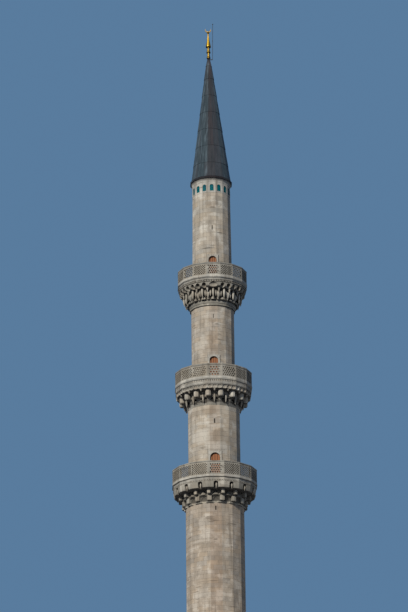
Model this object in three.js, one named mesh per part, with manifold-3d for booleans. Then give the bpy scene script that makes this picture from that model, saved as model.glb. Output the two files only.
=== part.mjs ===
// A stone minaret with three balconies and a lead spire, as a model at half size.
// Every dimension below is the full-size one, in millimetres. MODEL_SCALE brings it to the model's size.
// The front, with the doors and the slit windows, faces -Y, and the ground is at z = 0.

import * as THREE from 'three';
import { ConvexGeometry } from 'three/addons/geometries/ConvexGeometry.js';
import { mergeVertices } from 'three/addons/utils/BufferGeometryUtils.js';
import Module from 'manifold-3d';

const wasm = await Module();
wasm.setup();

const MODEL_SCALE = 0.5;
const SIDES = 16; // the tower has sixteen flat facets, and a radius is measured to their corners
const FACET_ANGLE = 360 / SIDES;
const JOINT = 0.6; // open joint between neighbours that meet on an upright cut
const WELL_RADIUS = 1120; // the round space for the stair, the same all the way up
const ROUGH_WELD = 1e-3;

// Square base, hidden in the picture, with its stepped plinth and the faceted change to sixteen sides.
const PLINTH = { height: 600, stepHeight: 300, halfWidth: 3400, stepHalfWidth: 3150 };
const BASE = { top: 10800, halfWidth: 2950, innerHalfWidth: 1300, corniceTop: 11200, corniceOverhang: 160 };
const BASE_DOOR = { width: 900, springing: 1650, recess: 420, thickness: 90 };
const TRANSITION = { top: 15200, radius: 2330 };
const FOOT_RING = { top: 15800, radius: 2440 };

// Stages of the shaft from the ground up. The last one narrows towards the spire.
const STAGES = [
	{ radius: 2200, slit: { bottom: 23980, top: 24300 } },
	{ radius: 1970, slit: { bottom: 30760, top: 31120 } },
	{ radius: 1650, slit: { bottom: 39220, top: 39550 } },
	{ radius: 1537, topRadius: 1475, slit: { bottom: 46510, top: 46880 } },
];
const SLIT_WIDTH = 100;
const FRONT_SPAN = 5 * FACET_ANGLE; // the front segment of a stage carries the doorway and the slit

// Balconies from the ground up. A corbel's outline goes from its foot to the deck: radius, height above the foot.
// A bracket hangs at the corners or in the middle of the facets, between two heights above the foot.
// The lip is how high on the edge of the deck, as a part of its thickness, the edge steps out to the rim.
const BALCONIES = [
	{
		foot: 24540, soffit: 26060, deck: 26320, railTop: 27500, radius: 3228, doorTop: 28470, doorWidth: 740,
		corbel: [
			[ 2290, 0 ], [ 2330, 100 ], [ 2330, 430 ], [ 2440, 520 ], [ 2460, 580 ], [ 2460, 900 ],
			[ 2720, 930 ], [ 2940, 1020 ], [ 3060, 1110 ], [ 3105, 1250 ], [ 3130, 1430 ], [ 3150, 1520 ],
		],
		brackets: [
			{ turn: 0.5, outer: 2490, inner: 2360, bottom: 120, shoulder: 210, top: 560, width: 360 },
			{ turn: 0.5, outer: 2745, inner: 2540, bottom: 580, shoulder: 620, top: 1000, width: 310 },
		],
		niches: [ { offset: 0, bottom: 1100, top: 1420, width: 310, depth: 160 } ],
		lip: 0.35,
	},
	{
		foot: 32180, soffit: 33550, deck: 34040, railTop: 35180, radius: 2966, doorTop: 36150, doorWidth: 660,
		corbel: [
			[ 2040, 0 ], [ 2090, 100 ], [ 2110, 200 ], [ 2160, 300 ], [ 2220, 420 ], [ 2290, 540 ],
			[ 2320, 960 ], [ 2780, 1050 ], [ 2860, 1090 ], [ 2875, 1200 ], [ 2890, 1370 ],
		],
		brackets: [
			{ turn: 0, outer: 2290, inner: 2120, bottom: 170, shoulder: 240, top: 560, width: 180 },
			{ turn: 0.5, outer: 2400, inner: 2150, bottom: 260, shoulder: 440, top: 560, width: 240 },
			{ turn: 0.5, outer: 2610, inner: 2380, bottom: 540, shoulder: 590, top: 1060, width: 410 },
		],
		niches: [],
		lip: 0.6,
	},
	{
		foot: 40210, soffit: 42000, deck: 42260, railTop: 43400, radius: 2710, doorTop: 44330, doorWidth: 620,
		corbel: [
			[ 1700, 0 ], [ 1745, 30 ], [ 1745, 150 ], [ 1700, 190 ], [ 1740, 300 ], [ 1800, 600 ], [ 1860, 760 ],
			[ 1920, 950 ], [ 2100, 1120 ], [ 2160, 1260 ], [ 2480, 1330 ], [ 2555, 1390 ], [ 2580, 1650 ],
			[ 2640, 1790 ],
		],
		brackets: [
			{ turn: 0, outer: 1990, inner: 1780, bottom: 310, shoulder: 390, top: 780, width: 170 },
			{ turn: 0, outer: 2140, inner: 1900, bottom: 580, shoulder: 660, top: 1140, width: 200 },
			{ turn: 0, outer: 2320, inner: 2060, bottom: 930, shoulder: 1020, top: 1350, width: 220 },
			{ turn: 0.5, outer: 2360, inner: 1960, bottom: 920, shoulder: 1000, top: 1360, width: 230 },
		],
		niches: [
			{ offset: -255, bottom: 1260, top: 1600, width: 260, depth: 150 },
			{ offset: 255, bottom: 1260, top: 1600, width: 260, depth: 150 },
		],
		lip: 0.2,
	},
];
const BALCONY_DOOR = { surround: 130, head: 120, proud: 15, recess: 120, thickness: 70 };
const PARAPET = { thickness: 200, bottomRail: 150, topRail: 150, post: 200, outerRecess: 45, innerRecess: 35 };

// Tiled band under the eave, with one arched recess for a tile on each facet.
const FRIEZE = { bottom: 49660, radius: 1490, corniceBottom: 50560, corniceRadius: 1590, top: 50900 };
const TILE = { bottom: 49780, top: 50330, width: 275, depth: 40 };
const SPIRE = {
	eaveRadius: 1650, eaveHeight: 140, radius: 1565, tip: 61630, tipRadius: 190,
	collarRadius: 135, top: 61820, wall: 150,
	lean: 0.007, // the spire and its finial lean a little to the left: a shift for each unit of height
};

// Gilded finial and the thin lightning rod beside it.
const FINIAL = { lowerTop: 62300, upperTop: 62790, neck: 63880, top: 64140 };
const CRESCENT = { radius: 240, innerRadius: 212, innerRise: 60, tipRise: 130, thickness: 40, seat: 15 };
const ROD = {
	offset: 315, radius: 16, bottom: 61700, top: 64910, knot: 63390, clampHeight: 60,
	lean: -0.014, // to the right, away from the finial
};

const materials = {
	stone: new THREE.MeshStandardMaterial( { color: 0xa89e8c, roughness: 0.9, metalness: 0 } ),
	paleStone: new THREE.MeshStandardMaterial( { color: 0xb0a896, roughness: 0.88, metalness: 0 } ),
	wood: new THREE.MeshStandardMaterial( { color: 0x7a5a40, roughness: 0.7, metalness: 0 } ),
	lead: new THREE.MeshStandardMaterial( { color: 0x444647, roughness: 0.55, metalness: 0.7 } ),
	gilt: new THREE.MeshStandardMaterial( { color: 0xc1912d, roughness: 0.3, metalness: 1 } ),
	iron: new THREE.MeshStandardMaterial( { color: 0x45463f, roughness: 0.6, metalness: 0.8 } ),
};

const radians = THREE.MathUtils.degToRad;
const apothem = ( radius ) => radius * Math.cos( Math.PI / SIDES );
const squareRadius = ( halfWidth ) => halfWidth * Math.SQRT2;

// A closed geometry, its shared corners merged and its flat triangles dropped, as a solid to cut and join.
function solidOf( geometry ) {
	const bare = new THREE.BufferGeometry();
	bare.setAttribute( 'position', geometry.attributes.position );
	bare.setIndex( geometry.index );
	const merged = mergeVertices( bare, ROUGH_WELD );
	const corners = Array.from( merged.index.array );
	const triangles = [];
	for ( let i = 0; i < corners.length; i += 3 ) {
		const [ a, b, c ] = corners.slice( i, i + 3 );
		if ( a !== b && b !== c && c !== a ) triangles.push( a, b, c );
	}
	return new wasm.Manifold( new wasm.Mesh( {
		numProp: 3,
		vertProperties: merged.attributes.position.array,
		triVerts: new Uint32Array( triangles ),
	} ) );
}

// A solid turned about the tower's axis, in flat facets with one of them square to the front.
function turned( outline, sides = SIDES ) {
	const points = outline.map( ( [ radius, height ] ) => new THREE.Vector2( radius, height ) );
	const geometry = new THREE.LatheGeometry( points, sides, Math.PI / sides );
	geometry.rotateX( Math.PI / 2 );
	return solidOf( geometry );
}

// A ring whose outer outline is given from its foot up, round an upright well.
function ring( outline, wellRadius, sides = SIDES ) {
	const foot = outline[ 0 ];
	const crown = outline[ outline.length - 1 ];
	return turned( [ ...outline, [ wellRadius, crown[ 1 ] ], [ wellRadius, foot[ 1 ] ], foot ], sides );
}

function box( width, depth, height, x, y, z ) {
	const geometry = new THREE.BoxGeometry( width, depth, height );
	geometry.translate( x, y, z + height / 2 );
	return solidOf( geometry );
}

// A flat shape drawn as seen from the front, made solid from the plane y = -near back or forth to y = -far.
function towardsFront( shape, near, far, curveSegments = 4 ) {
	const geometry = new THREE.ExtrudeGeometry( shape, { depth: far - near, bevelEnabled: false, curveSegments } );
	geometry.rotateX( Math.PI / 2 );
	geometry.translate( 0, - near, 0 );
	return solidOf( geometry );
}

// A round-headed opening, centred on x, from its sill to the crown of its arch.
function archShape( width, bottom, top, x = 0 ) {
	const half = width / 2;
	const shape = new THREE.Shape();
	shape.moveTo( x - half, bottom );
	shape.lineTo( x + half, bottom );
	shape.absarc( x, top - half, half, 0, Math.PI, false );
	shape.closePath();
	return shape;
}

function rectangleShape( width, bottom, top ) {
	const half = width / 2;
	const shape = new THREE.Shape();
	shape.moveTo( - half, bottom );
	shape.lineTo( half, bottom );
	shape.lineTo( half, top );
	shape.lineTo( - half, top );
	shape.closePath();
	return shape;
}

// The part of a solid between two angles, which count from the front and grow towards +X.
function sector( solid, from, to, bottom, top ) {
	const half = ( to - from ) / 2;
	const middle = radians( ( from + to ) / 2 );
	const reach = 5000;
	const steps = 6;
	const apex = new THREE.Vector2( Math.sin( middle ), - Math.cos( middle ) );
	apex.multiplyScalar( JOINT / 2 / Math.sin( radians( half ) ) );
	const shape = new THREE.Shape();
	shape.moveTo( apex.x, apex.y );
	for ( let step = 0; step <= steps; step ++ ) {
		const angle = radians( from + ( to - from ) * step / steps );
		shape.lineTo( apex.x + reach * Math.sin( angle ), apex.y - reach * Math.cos( angle ) );
	}
	shape.closePath();
	const wedge = new THREE.ExtrudeGeometry( shape, { depth: top - bottom, bevelEnabled: false } );
	wedge.translate( 0, 0, bottom );
	return solid.intersect( solidOf( wedge ) );
}

// One solid repeated on every facet; turn 0 is the middle of a facet and 0.5 the corner between two.
function onEveryFacet( solid, turn = 0 ) {
	const copies = [];
	for ( let facet = 0; facet < SIDES; facet ++ ) copies.push( solid.rotate( [ 0, 0, ( facet + turn ) * FACET_ANGLE ] ) );
	return wasm.Manifold.union( copies );
}

const minaret = new THREE.Group();

function addPiece( name, solid, level, material, lean = 0, aside = - lean * ( level - FRIEZE.top ) ) {
	const result = solid.getMesh();
	const geometry = new THREE.BufferGeometry();
	geometry.setAttribute( 'position', new THREE.BufferAttribute( new Float32Array( result.vertProperties ), 3 ) );
	geometry.setIndex( new THREE.BufferAttribute( new Uint32Array( result.triVerts ), 1 ) );
	geometry.scale( MODEL_SCALE, MODEL_SCALE, MODEL_SCALE );
	if ( lean ) geometry.applyMatrix4( new THREE.Matrix4().makeShear( 0, 0, 0, 0, - lean, 0 ) );
	const mesh = new THREE.Mesh( geometry, material );
	mesh.name = name;
	mesh.position.z = level * MODEL_SCALE;
	mesh.position.x = aside * MODEL_SCALE;
	minaret.add( mesh );
}

function buildBase() {
	const { height, stepHeight, halfWidth, stepHalfWidth } = PLINTH;
	const plinth = turned( [
		[ 0, 0 ], [ squareRadius( halfWidth ), 0 ], [ squareRadius( halfWidth ), stepHeight ],
		[ squareRadius( stepHalfWidth ), stepHeight ], [ squareRadius( stepHalfWidth ), height ], [ 0, height ],
	], 4 );
	addPiece( 'plinth', plinth, 0, materials.stone );

	const outer = BASE.halfWidth;
	const inner = BASE.innerHalfWidth;
	const wall = outer - inner;
	const middle = ( outer + inner ) / 2;
	const wallHeight = BASE.top - height;
	const jamb = outer - BASE_DOOR.width / 2;
	const jambMiddle = ( outer + BASE_DOOR.width / 2 ) / 2;
	for ( const [ side, sign ] of [ [ 'left', - 1 ], [ 'right', 1 ] ] ) {
		const frontWall = box( jamb, wall, BASE_DOOR.springing, sign * jambMiddle, - middle, 0 );
		addPiece( `base_wall_front_${ side }`, frontWall, height, materials.stone );
		const sideWall = box( wall, 2 * inner, wallHeight, sign * middle, 0, 0 );
		addPiece( `base_wall_${ side }`, sideWall, height, materials.stone );
	}
	const doorCrown = BASE_DOOR.springing + BASE_DOOR.width / 2;
	const overDoor = box( 2 * outer, wall, wallHeight - BASE_DOOR.springing, 0, - middle, BASE_DOOR.springing );
	const arch = towardsFront( archShape( BASE_DOOR.width, 0, doorCrown ), 0, 2 * outer );
	addPiece( 'base_wall_front_head', overDoor.subtract( arch ), height, materials.stone );
	addPiece( 'base_wall_back', box( 2 * outer, wall, wallHeight, 0, middle, 0 ), height, materials.stone );

	const leafFront = outer - BASE_DOOR.recess;
	const leafShape = archShape( BASE_DOOR.width - JOINT, 0, doorCrown - JOINT / 2 );
	const leaf = towardsFront( leafShape, leafFront - BASE_DOOR.thickness, leafFront );
	addPiece( 'base_door', leaf, height, materials.wood );

	const corniceHeight = BASE.corniceTop - BASE.top;
	const cornice = ring( [
		[ squareRadius( outer ), 0 ],
		[ squareRadius( outer ), corniceHeight * 0.2 ],
		[ squareRadius( outer + BASE.corniceOverhang * 0.7 ), corniceHeight * 0.55 ],
		[ squareRadius( outer + BASE.corniceOverhang ), corniceHeight * 0.6 ],
		[ squareRadius( outer + BASE.corniceOverhang ), corniceHeight * 0.85 ],
		[ squareRadius( outer ), corniceHeight ],
	], squareRadius( inner ), 4 );
	addPiece( 'base_cornice', cornice, BASE.top, materials.paleStone );
}

// The square of the base goes over into sixteen sides by long triangles, round the upright well.
function buildTransition() {
	const height = TRANSITION.top - BASE.corniceTop;
	const points = [];
	for ( const x of [ - BASE.halfWidth, BASE.halfWidth ] ) {
		for ( const y of [ - BASE.halfWidth, BASE.halfWidth ] ) points.push( new THREE.Vector3( x, y, 0 ) );
	}
	for ( let corner = 0; corner < SIDES; corner ++ ) {
		const angle = radians( ( corner + 0.5 ) * FACET_ANGLE );
		points.push( new THREE.Vector3(
			TRANSITION.radius * Math.sin( angle ), - TRANSITION.radius * Math.cos( angle ), height ) );
	}
	const well = turned( [ [ 0, - 10 ], [ WELL_RADIUS, - 10 ], [ WELL_RADIUS, height + 10 ], [ 0, height + 10 ] ] );
	addPiece( 'transition', solidOf( new ConvexGeometry( points ) ).subtract( well ), BASE.corniceTop, materials.stone );

	const ringHeight = FOOT_RING.top - TRANSITION.top;
	const footRing = ring( [
		[ TRANSITION.radius, 0 ], [ TRANSITION.radius, ringHeight * 0.15 ], [ FOOT_RING.radius, ringHeight * 0.3 ],
		[ FOOT_RING.radius, ringHeight * 0.6 ], [ STAGES[ 0 ].radius + 60, ringHeight * 0.8 ],
		[ STAGES[ 0 ].radius, ringHeight ],
	], WELL_RADIUS );
	addPiece( 'shaft_foot_ring', footRing, TRANSITION.top, materials.paleStone );
}

// A stage of the shaft, cut upright into a front segment and two side ones that meet at the back.
function buildStage( index ) {
	const stage = STAGES[ index ];
	const below = BALCONIES[ index - 1 ];
	const above = BALCONIES[ index ];
	const bottom = below ? below.deck : FOOT_RING.top;
	const top = above ? above.foot : FRIEZE.bottom;
	const height = top - bottom;
	let shaft = ring( [ [ stage.radius, 0 ], [ stage.topRadius ?? stage.radius, height ] ], WELL_RADIUS );
	if ( below ) {
		const doorTop = below.doorTop - bottom;
		const faceDistance = apothem( stage.radius );
		const frame = towardsFront(
			rectangleShape( below.doorWidth + 2 * BALCONY_DOOR.surround, 0, doorTop + BALCONY_DOOR.head ),
			WELL_RADIUS, faceDistance + BALCONY_DOOR.proud );
		const doorway = towardsFront( archShape( below.doorWidth, - 10, doorTop ), 0, 2 * stage.radius );
		shaft = shaft.add( frame ).subtract( doorway );
	}
	const slitShape = rectangleShape( SLIT_WIDTH, stage.slit.bottom - bottom, stage.slit.top - bottom );
	shaft = shaft.subtract( towardsFront( slitShape, 0, 2 * stage.radius ) );

	const edge = FRONT_SPAN / 2;
	const segments = [ [ 'front', - edge, edge ], [ 'right', edge, 180 ], [ 'left', - 180, - edge ] ];
	for ( const [ side, from, to ] of segments ) {
		addPiece( `shaft_${ index + 1 }_${ side }`, sector( shaft, from, to, 0, height ), bottom, materials.stone );
	}
}

// A stone that hangs from the tier above and tapers back towards the shaft at its foot.
function bracket( { outer, inner, bottom, shoulder, top, width } ) {
	const shape = new THREE.Shape();
	shape.moveTo( inner - 100, bottom );
	shape.lineTo( inner, bottom );
	shape.lineTo( outer, shoulder );
	shape.lineTo( outer, top );
	shape.lineTo( inner - 100, top );
	shape.closePath();
	const geometry = new THREE.ExtrudeGeometry( shape, { depth: width, bevelEnabled: false } );
	geometry.translate( 0, 0, - width / 2 );
	geometry.rotateX( Math.PI / 2 );
	geometry.rotateZ( - Math.PI / 2 );
	return solidOf( geometry );
}

function buildCorbel( name, balcony ) {
	let corbel = ring( balcony.corbel, WELL_RADIUS );
	for ( const tier of balcony.brackets ) corbel = corbel.add( onEveryFacet( bracket( tier ), tier.turn ) );
	for ( const niche of balcony.niches ) {
		const faceDistance = apothem( balcony.corbel[ balcony.corbel.length - 1 ][ 0 ] );
		const cut = towardsFront(
			archShape( niche.width, niche.bottom, niche.top, niche.offset ),
			faceDistance - niche.depth, faceDistance + 200, 2 );
		corbel = corbel.subtract( onEveryFacet( cut ) );
	}
	addPiece( `${ name }_corbel`, corbel, balcony.foot, materials.stone );
}

// The deck, which also floors the well behind the door. Its rim carries the parapet's weight out over the corbel.
function buildSlab( name, balcony ) {
	const height = balcony.deck - balcony.soffit;
	const crown = balcony.corbel[ balcony.corbel.length - 1 ][ 0 ];
	const rim = balcony.radius;
	addPiece( `${ name }_slab`, turned( [
		[ 0, 0 ], [ crown + 20, 0 ], [ crown + 30, height * balcony.lip ], [ rim, height * ( balcony.lip + 0.15 ) ],
		[ rim, height ], [ 0, height ],
	] ), balcony.soffit, materials.paleStone );
}

// Stone slabs between corner posts under a top rail; the fine piercing of the slabs isn't in these solids.
function buildParapet( name, balcony ) {
	const height = balcony.railTop - balcony.deck;
	const outer = balcony.radius - 10;
	const innerRadius = outer - PARAPET.thickness;
	const panelWidth = 2 * innerRadius * Math.sin( Math.PI / SIDES ) - PARAPET.post;
	const panel = rectangleShape( panelWidth, PARAPET.bottomRail, height - PARAPET.topRail );
	const outerFace = apothem( outer );
	const innerFace = apothem( innerRadius );
	const outside = towardsFront( panel, outerFace - PARAPET.outerRecess, outerFace + 100 );
	const inside = towardsFront( panel, innerFace - 100, innerFace + PARAPET.innerRecess );
	const wall = ring( [ [ outer, 0 ], [ outer, height ] ], innerRadius );
	const parapet = wall.subtract( onEveryFacet( outside ) ).subtract( onEveryFacet( inside ) );
	addPiece( `${ name }_parapet_front`, sector( parapet, - 90, 90, 0, height ), balcony.deck, materials.paleStone );
	addPiece( `${ name }_parapet_back`, sector( parapet, 90, 270, 0, height ), balcony.deck, materials.paleStone );
}

function buildDoor( name, balcony, stage ) {
	const shape = archShape( balcony.doorWidth - JOINT, 0, balcony.doorTop - balcony.deck - JOINT / 2 );
	const leafFront = apothem( stage.radius ) - BALCONY_DOOR.recess;
	const leaf = towardsFront( shape, leafFront - BALCONY_DOOR.thickness, leafFront );
	addPiece( `${ name }_door`, leaf, balcony.deck, materials.wood );
}

function buildFrieze() {
	const { bottom, radius, corniceBottom, corniceRadius, top } = FRIEZE;
	const band = ring( [
		[ radius, 0 ], [ radius, corniceBottom - bottom ], [ radius + 15, corniceBottom - bottom + 120 ],
		[ corniceRadius, top - bottom - 90 ], [ corniceRadius, top - bottom ],
	], WELL_RADIUS );
	const face = apothem( radius );
	const recess = towardsFront(
		archShape( TILE.width, TILE.bottom - bottom, TILE.top - bottom ), face - TILE.depth, face + 100, 3 );
	addPiece( 'tile_frieze', band.subtract( onEveryFacet( recess ) ), bottom, materials.paleStone );
}

// A hollow pyramid of sixteen sides, open below, with a short collar for the finial.
function buildSpire() {
	const { eaveRadius, eaveHeight, radius, tipRadius, collarRadius, wall } = SPIRE;
	const tip = SPIRE.tip - FRIEZE.top;
	const top = SPIRE.top - FRIEZE.top;
	const slope = ( radius - tipRadius ) / tip;
	addPiece( 'spire', turned( [
		[ 0, ( radius - wall ) / slope ], [ radius - wall, 0 ], [ eaveRadius, 0 ], [ eaveRadius, eaveHeight ],
		[ radius, eaveHeight + 60 ], [ tipRadius, tip ], [ collarRadius, tip ], [ collarRadius, top ], [ 0, top ],
	] ), FRIEZE.top, materials.lead, SPIRE.lean );
}

function buildFinial() {
	const roundSides = 24;
	const knop = ( foot, height, widest, waist ) => turned( [
		[ 0, 0 ], [ foot, 0 ], [ widest * 0.96, height * 0.04 ], [ widest, height * 0.1 ], [ widest * 0.92, height * 0.2 ],
		[ widest * 0.76, height * 0.38 ], [ widest * 0.66, height * 0.62 ], [ waist * 1.05, height * 0.85 ],
		[ waist, height ], [ 0, height ],
	], roundSides );
	const lowerKnop = knop( 100, FINIAL.lowerTop - SPIRE.top, 158, 80 );
	addPiece( 'finial_lower_knop', lowerKnop, SPIRE.top, materials.gilt, SPIRE.lean );
	const upperKnop = knop( 90, FINIAL.upperTop - FINIAL.lowerTop, 168, 84 );
	addPiece( 'finial_upper_knop', upperKnop, FINIAL.lowerTop, materials.gilt, SPIRE.lean );

	const neckHeight = FINIAL.neck - FINIAL.upperTop;
	const pearHeight = FINIAL.top - FINIAL.upperTop;
	addPiece( 'finial_pear', turned( [
		[ 0, 0 ], [ 95, 0 ], [ 195, neckHeight * 0.02 ], [ 208, neckHeight * 0.06 ], [ 195, neckHeight * 0.13 ],
		[ 158, neckHeight * 0.28 ], [ 115, neckHeight * 0.48 ], [ 78, neckHeight * 0.7 ], [ 54, neckHeight * 0.88 ],
		[ 45, neckHeight ],
		[ 60, pearHeight - 120 ], [ 112, pearHeight - 25 ], [ 112, pearHeight ], [ 0, pearHeight ],
	], roundSides ), FINIAL.upperTop, materials.gilt, SPIRE.lean );

	const { radius, innerRadius, innerRise, tipRise, thickness, seat } = CRESCENT;
	const outerTip = Math.asin( tipRise / radius );
	const innerTip = Math.asin( ( tipRise - innerRise ) / innerRadius );
	const seatAngle = Math.acos( ( radius - seat ) / radius );
	const shape = new THREE.Shape();
	shape.absarc( 0, 0, radius, - Math.PI / 2 + seatAngle, outerTip, false );
	shape.absarc( 0, innerRise, innerRadius, innerTip, Math.PI - innerTip, true );
	shape.absarc( 0, 0, radius, Math.PI - outerTip, 1.5 * Math.PI - seatAngle, false );
	shape.closePath();
	const crescent = towardsFront( shape, - thickness / 2, thickness / 2, 8 );
	addPiece( 'finial_crescent', crescent.translate( [ 0, 0, radius - seat ] ), FINIAL.top, materials.gilt, SPIRE.lean );
}

function buildLightningRod() {
	const { offset, radius, bottom, top, knot, clampHeight } = ROD;
	const height = top - bottom;
	const knotLevel = knot - bottom;
	const rod = turned( [
		[ 0, 0 ], [ radius, 0 ], [ radius, knotLevel - 60 ], [ radius * 2, knotLevel ], [ radius, knotLevel + 60 ],
		[ radius, height - 110 ], [ radius * 2.6, height - 60 ], [ radius * 2.2, height - 10 ], [ 0, height ],
	], 8 ).translate( [ offset, 0, 0 ] );
	const clampStart = apothem( SPIRE.collarRadius ) + JOINT;
	const clamp = box( offset - clampStart, 2 * radius, clampHeight, ( offset + clampStart ) / 2, 0, 0 );
	const aside = - SPIRE.lean * ( bottom - FRIEZE.top );
	addPiece( 'lightning_rod', rod.add( clamp ), bottom, materials.iron, ROD.lean, aside );
}

buildBase();
buildTransition();
STAGES.forEach( ( stage, index ) => buildStage( index ) );
BALCONIES.forEach( ( balcony, index ) => {
	const name = `balcony_${ index + 1 }`;
	buildCorbel( name, balcony );
	buildSlab( name, balcony );
	buildParapet( name, balcony );
	buildDoor( name, balcony, STAGES[ index + 1 ] );
} );
buildFrieze();
buildSpire();
buildFinial();
buildLightningRod();

export default minaret;
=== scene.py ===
# A stone minaret with three balconies and a lead spire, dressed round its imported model.
import math
import bmesh
import bpy
from mathutils import Matrix, Vector


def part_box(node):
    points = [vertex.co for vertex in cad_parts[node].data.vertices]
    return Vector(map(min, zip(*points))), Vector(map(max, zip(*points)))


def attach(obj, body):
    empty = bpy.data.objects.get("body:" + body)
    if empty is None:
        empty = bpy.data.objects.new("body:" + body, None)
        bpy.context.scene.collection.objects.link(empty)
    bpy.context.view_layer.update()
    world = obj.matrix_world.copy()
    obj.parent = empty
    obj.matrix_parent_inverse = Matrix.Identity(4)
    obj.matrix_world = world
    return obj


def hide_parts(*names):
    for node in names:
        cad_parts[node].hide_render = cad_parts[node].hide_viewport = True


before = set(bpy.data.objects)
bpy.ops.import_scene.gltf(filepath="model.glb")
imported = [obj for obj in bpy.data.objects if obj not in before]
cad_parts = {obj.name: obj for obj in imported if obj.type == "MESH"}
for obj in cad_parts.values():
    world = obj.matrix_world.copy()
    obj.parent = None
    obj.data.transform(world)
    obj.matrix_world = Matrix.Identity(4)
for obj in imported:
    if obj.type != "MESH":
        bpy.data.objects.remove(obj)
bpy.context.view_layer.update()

# The model is half the real size. A piece's sizes are the real ones, in metres, and it is scaled as it is
# finished. Only the scales and reaches inside a material are the model's own.
modelScale = 0.5
sides = 16  # flat facets of the tower; a radius is measured to the corners between them
halfFacet = math.pi / sides
body = "root"


def realBox(node):
    low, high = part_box(node)
    return low / modelScale, high / modelScale


def apothem(radius, count=sides):  # from the axis to the middle of a facet
    return radius * math.cos(math.pi / count)


def cornerRadius(node):  # of a faceted node that reaches to the right
    return realBox(node)[1].x / math.cos(halfFacet)


def pointAt(angle, radius, height):  # an angle counts from the front and grows to the right
    return Vector((radius * math.sin(angle), -radius * math.cos(angle), height))


# Node trees, for materials and for geometry

class Wire:
    # One output of a node, with the sums that the trees below write as plain expressions.
    def __init__(self, graph, socket):
        self.graph = graph
        self.socket = socket

    def __add__(self, other):
        return self.graph.maths("ADD", self, other)

    def __sub__(self, other):
        return self.graph.maths("SUBTRACT", self, other)

    def __rsub__(self, other):
        return self.graph.maths("SUBTRACT", other, self)

    def __mul__(self, other):
        return self.graph.maths("MULTIPLY", self, other)

    def __truediv__(self, other):
        return self.graph.maths("DIVIDE", self, other)

    def __mod__(self, other):
        return self.graph.maths("FLOORED_MODULO", self, other)

    __radd__ = __add__

    def out(self, name):
        return Wire(self.graph, self.socket.node.outputs[name])


class Graph:
    def __init__(self, tree):
        self.tree = tree

    def node(self, kind, settings=None, sockets=None, out=0):
        node = self.tree.nodes.new(kind)
        for name, value in (settings or {}).items():
            setattr(node, name, value)
        for key, value in (sockets or {}).items():
            for part in value if isinstance(value, list) else [value]:
                if isinstance(part, Wire):
                    self.tree.links.new(part.socket, node.inputs[key])
                else:
                    node.inputs[key].default_value = part
        return Wire(self, node.outputs[out]) if node.outputs else None

    def maths(self, operation, first, second=0.0):
        return self.node("ShaderNodeMath", {"operation": operation}, {0: first, 1: second})

    def vector(self, x=0.0, y=0.0, z=0.0):
        return self.node("ShaderNodeCombineXYZ", {}, {0: x, 1: y, 2: z})

    def parts(self, vector):
        return self.node("ShaderNodeSeparateXYZ", {}, {0: vector})


# Camera, light, floor and backdrop

cameraFacts = {
    "imageHeight": 612,      # pixels
    "focalLength": 2450,     # pixels
    "sensor": 36,            # millimetres
    "distance": 176.5,       # from the tower's axis
    "height": -24.5,         # the picture was taken from lower ground
    "azimuth": -1.75,        # degrees from the front, less than 0 to the left
    "pitch": 20.3,           # degrees up
    "axisOffset": 8.5,       # pixels from the middle of the picture to the tower's axis
    "roll": 0.0107,          # radians
    "farthest": 500,
}


def addCamera(facts):
    data = bpy.data.cameras.new("camera")
    data.sensor_width = facts["sensor"]
    data.lens = facts["sensor"] * facts["focalLength"] / facts["imageHeight"]
    data.clip_end = facts["farthest"]
    camera = bpy.data.objects.new("camera", data)
    bpy.context.collection.objects.link(camera)
    azimuth = math.radians(facts["azimuth"])
    pitch = math.radians(facts["pitch"])
    camera.location = pointAt(azimuth, facts["distance"], facts["height"]) * modelScale
    aside = facts["axisOffset"] / facts["focalLength"] / math.cos(pitch)
    turn = Matrix.Rotation(azimuth + aside, 4, "Z") @ Matrix.Rotation(math.pi / 2 + pitch, 4, "X")
    camera.rotation_euler = (turn @ Matrix.Rotation(-facts["roll"], 4, "Z")).to_euler()
    bpy.context.scene.camera = camera


lightFacts = {
    "keyAzimuth": -27,       # degrees from the front, less than 0 to the left
    "keyHeight": 28,         # degrees
    "keyStrength": 3.4,
    "keyColour": (1.0, 0.935, 0.84),
    "keySoftness": 6,        # degrees
    "fill": (0.27, 0.36, 0.52, 1),
    "fillStrength": 0.36,
    "backdrop": (0.10, 0.20, 0.34, 1),
}


def addLight(facts):
    data = bpy.data.lights.new("key", "SUN")
    data.energy = facts["keyStrength"]
    data.color = facts["keyColour"]
    data.angle = math.radians(facts["keySoftness"])
    key = bpy.data.objects.new("key", data)
    bpy.context.collection.objects.link(key)
    height = math.radians(facts["keyHeight"])
    towards = pointAt(math.radians(facts["keyAzimuth"]), math.cos(height), math.sin(height))
    key.rotation_euler = towards.to_track_quat("Z", "Y").to_euler()

    world = bpy.data.worlds.new("studio")
    bpy.context.scene.world = world
    world.use_nodes = True
    world.node_tree.nodes.clear()
    graph = Graph(world.node_tree)
    sockets = {"Color": facts["fill"], "Strength": facts["fillStrength"]}
    fill = graph.node("ShaderNodeBackground", {}, sockets)
    backdrop = graph.node("ShaderNodeBackground", {}, {"Color": facts["backdrop"]})
    seen = graph.node("ShaderNodeLightPath", out="Is Camera Ray")
    shader = graph.node("ShaderNodeMixShader", {}, {0: seen, 1: fill, 2: backdrop})
    graph.node("ShaderNodeOutputWorld", {}, {"Surface": shader})
    bpy.context.scene.view_settings.view_transform = "Standard"


floorFacts = {"radius": 52, "corners": 96, "colour": (0.55, 0.54, 0.52, 1), "roughness": 0.9}


def addFloor(facts):
    bpy.ops.mesh.primitive_circle_add(
        vertices=facts["corners"], radius=facts["radius"] * modelScale, fill_type="NGON", location=(0, 0, 0))
    floor = bpy.context.object
    floor.name = "floor"
    material = bpy.data.materials.new("floor_paint")
    material.use_nodes = True
    shader = material.node_tree.nodes["Principled BSDF"]
    shader.inputs["Base Color"].default_value = facts["colour"]
    shader.inputs["Roughness"].default_value = facts["roughness"]
    floor.data.materials.append(material)


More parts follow.
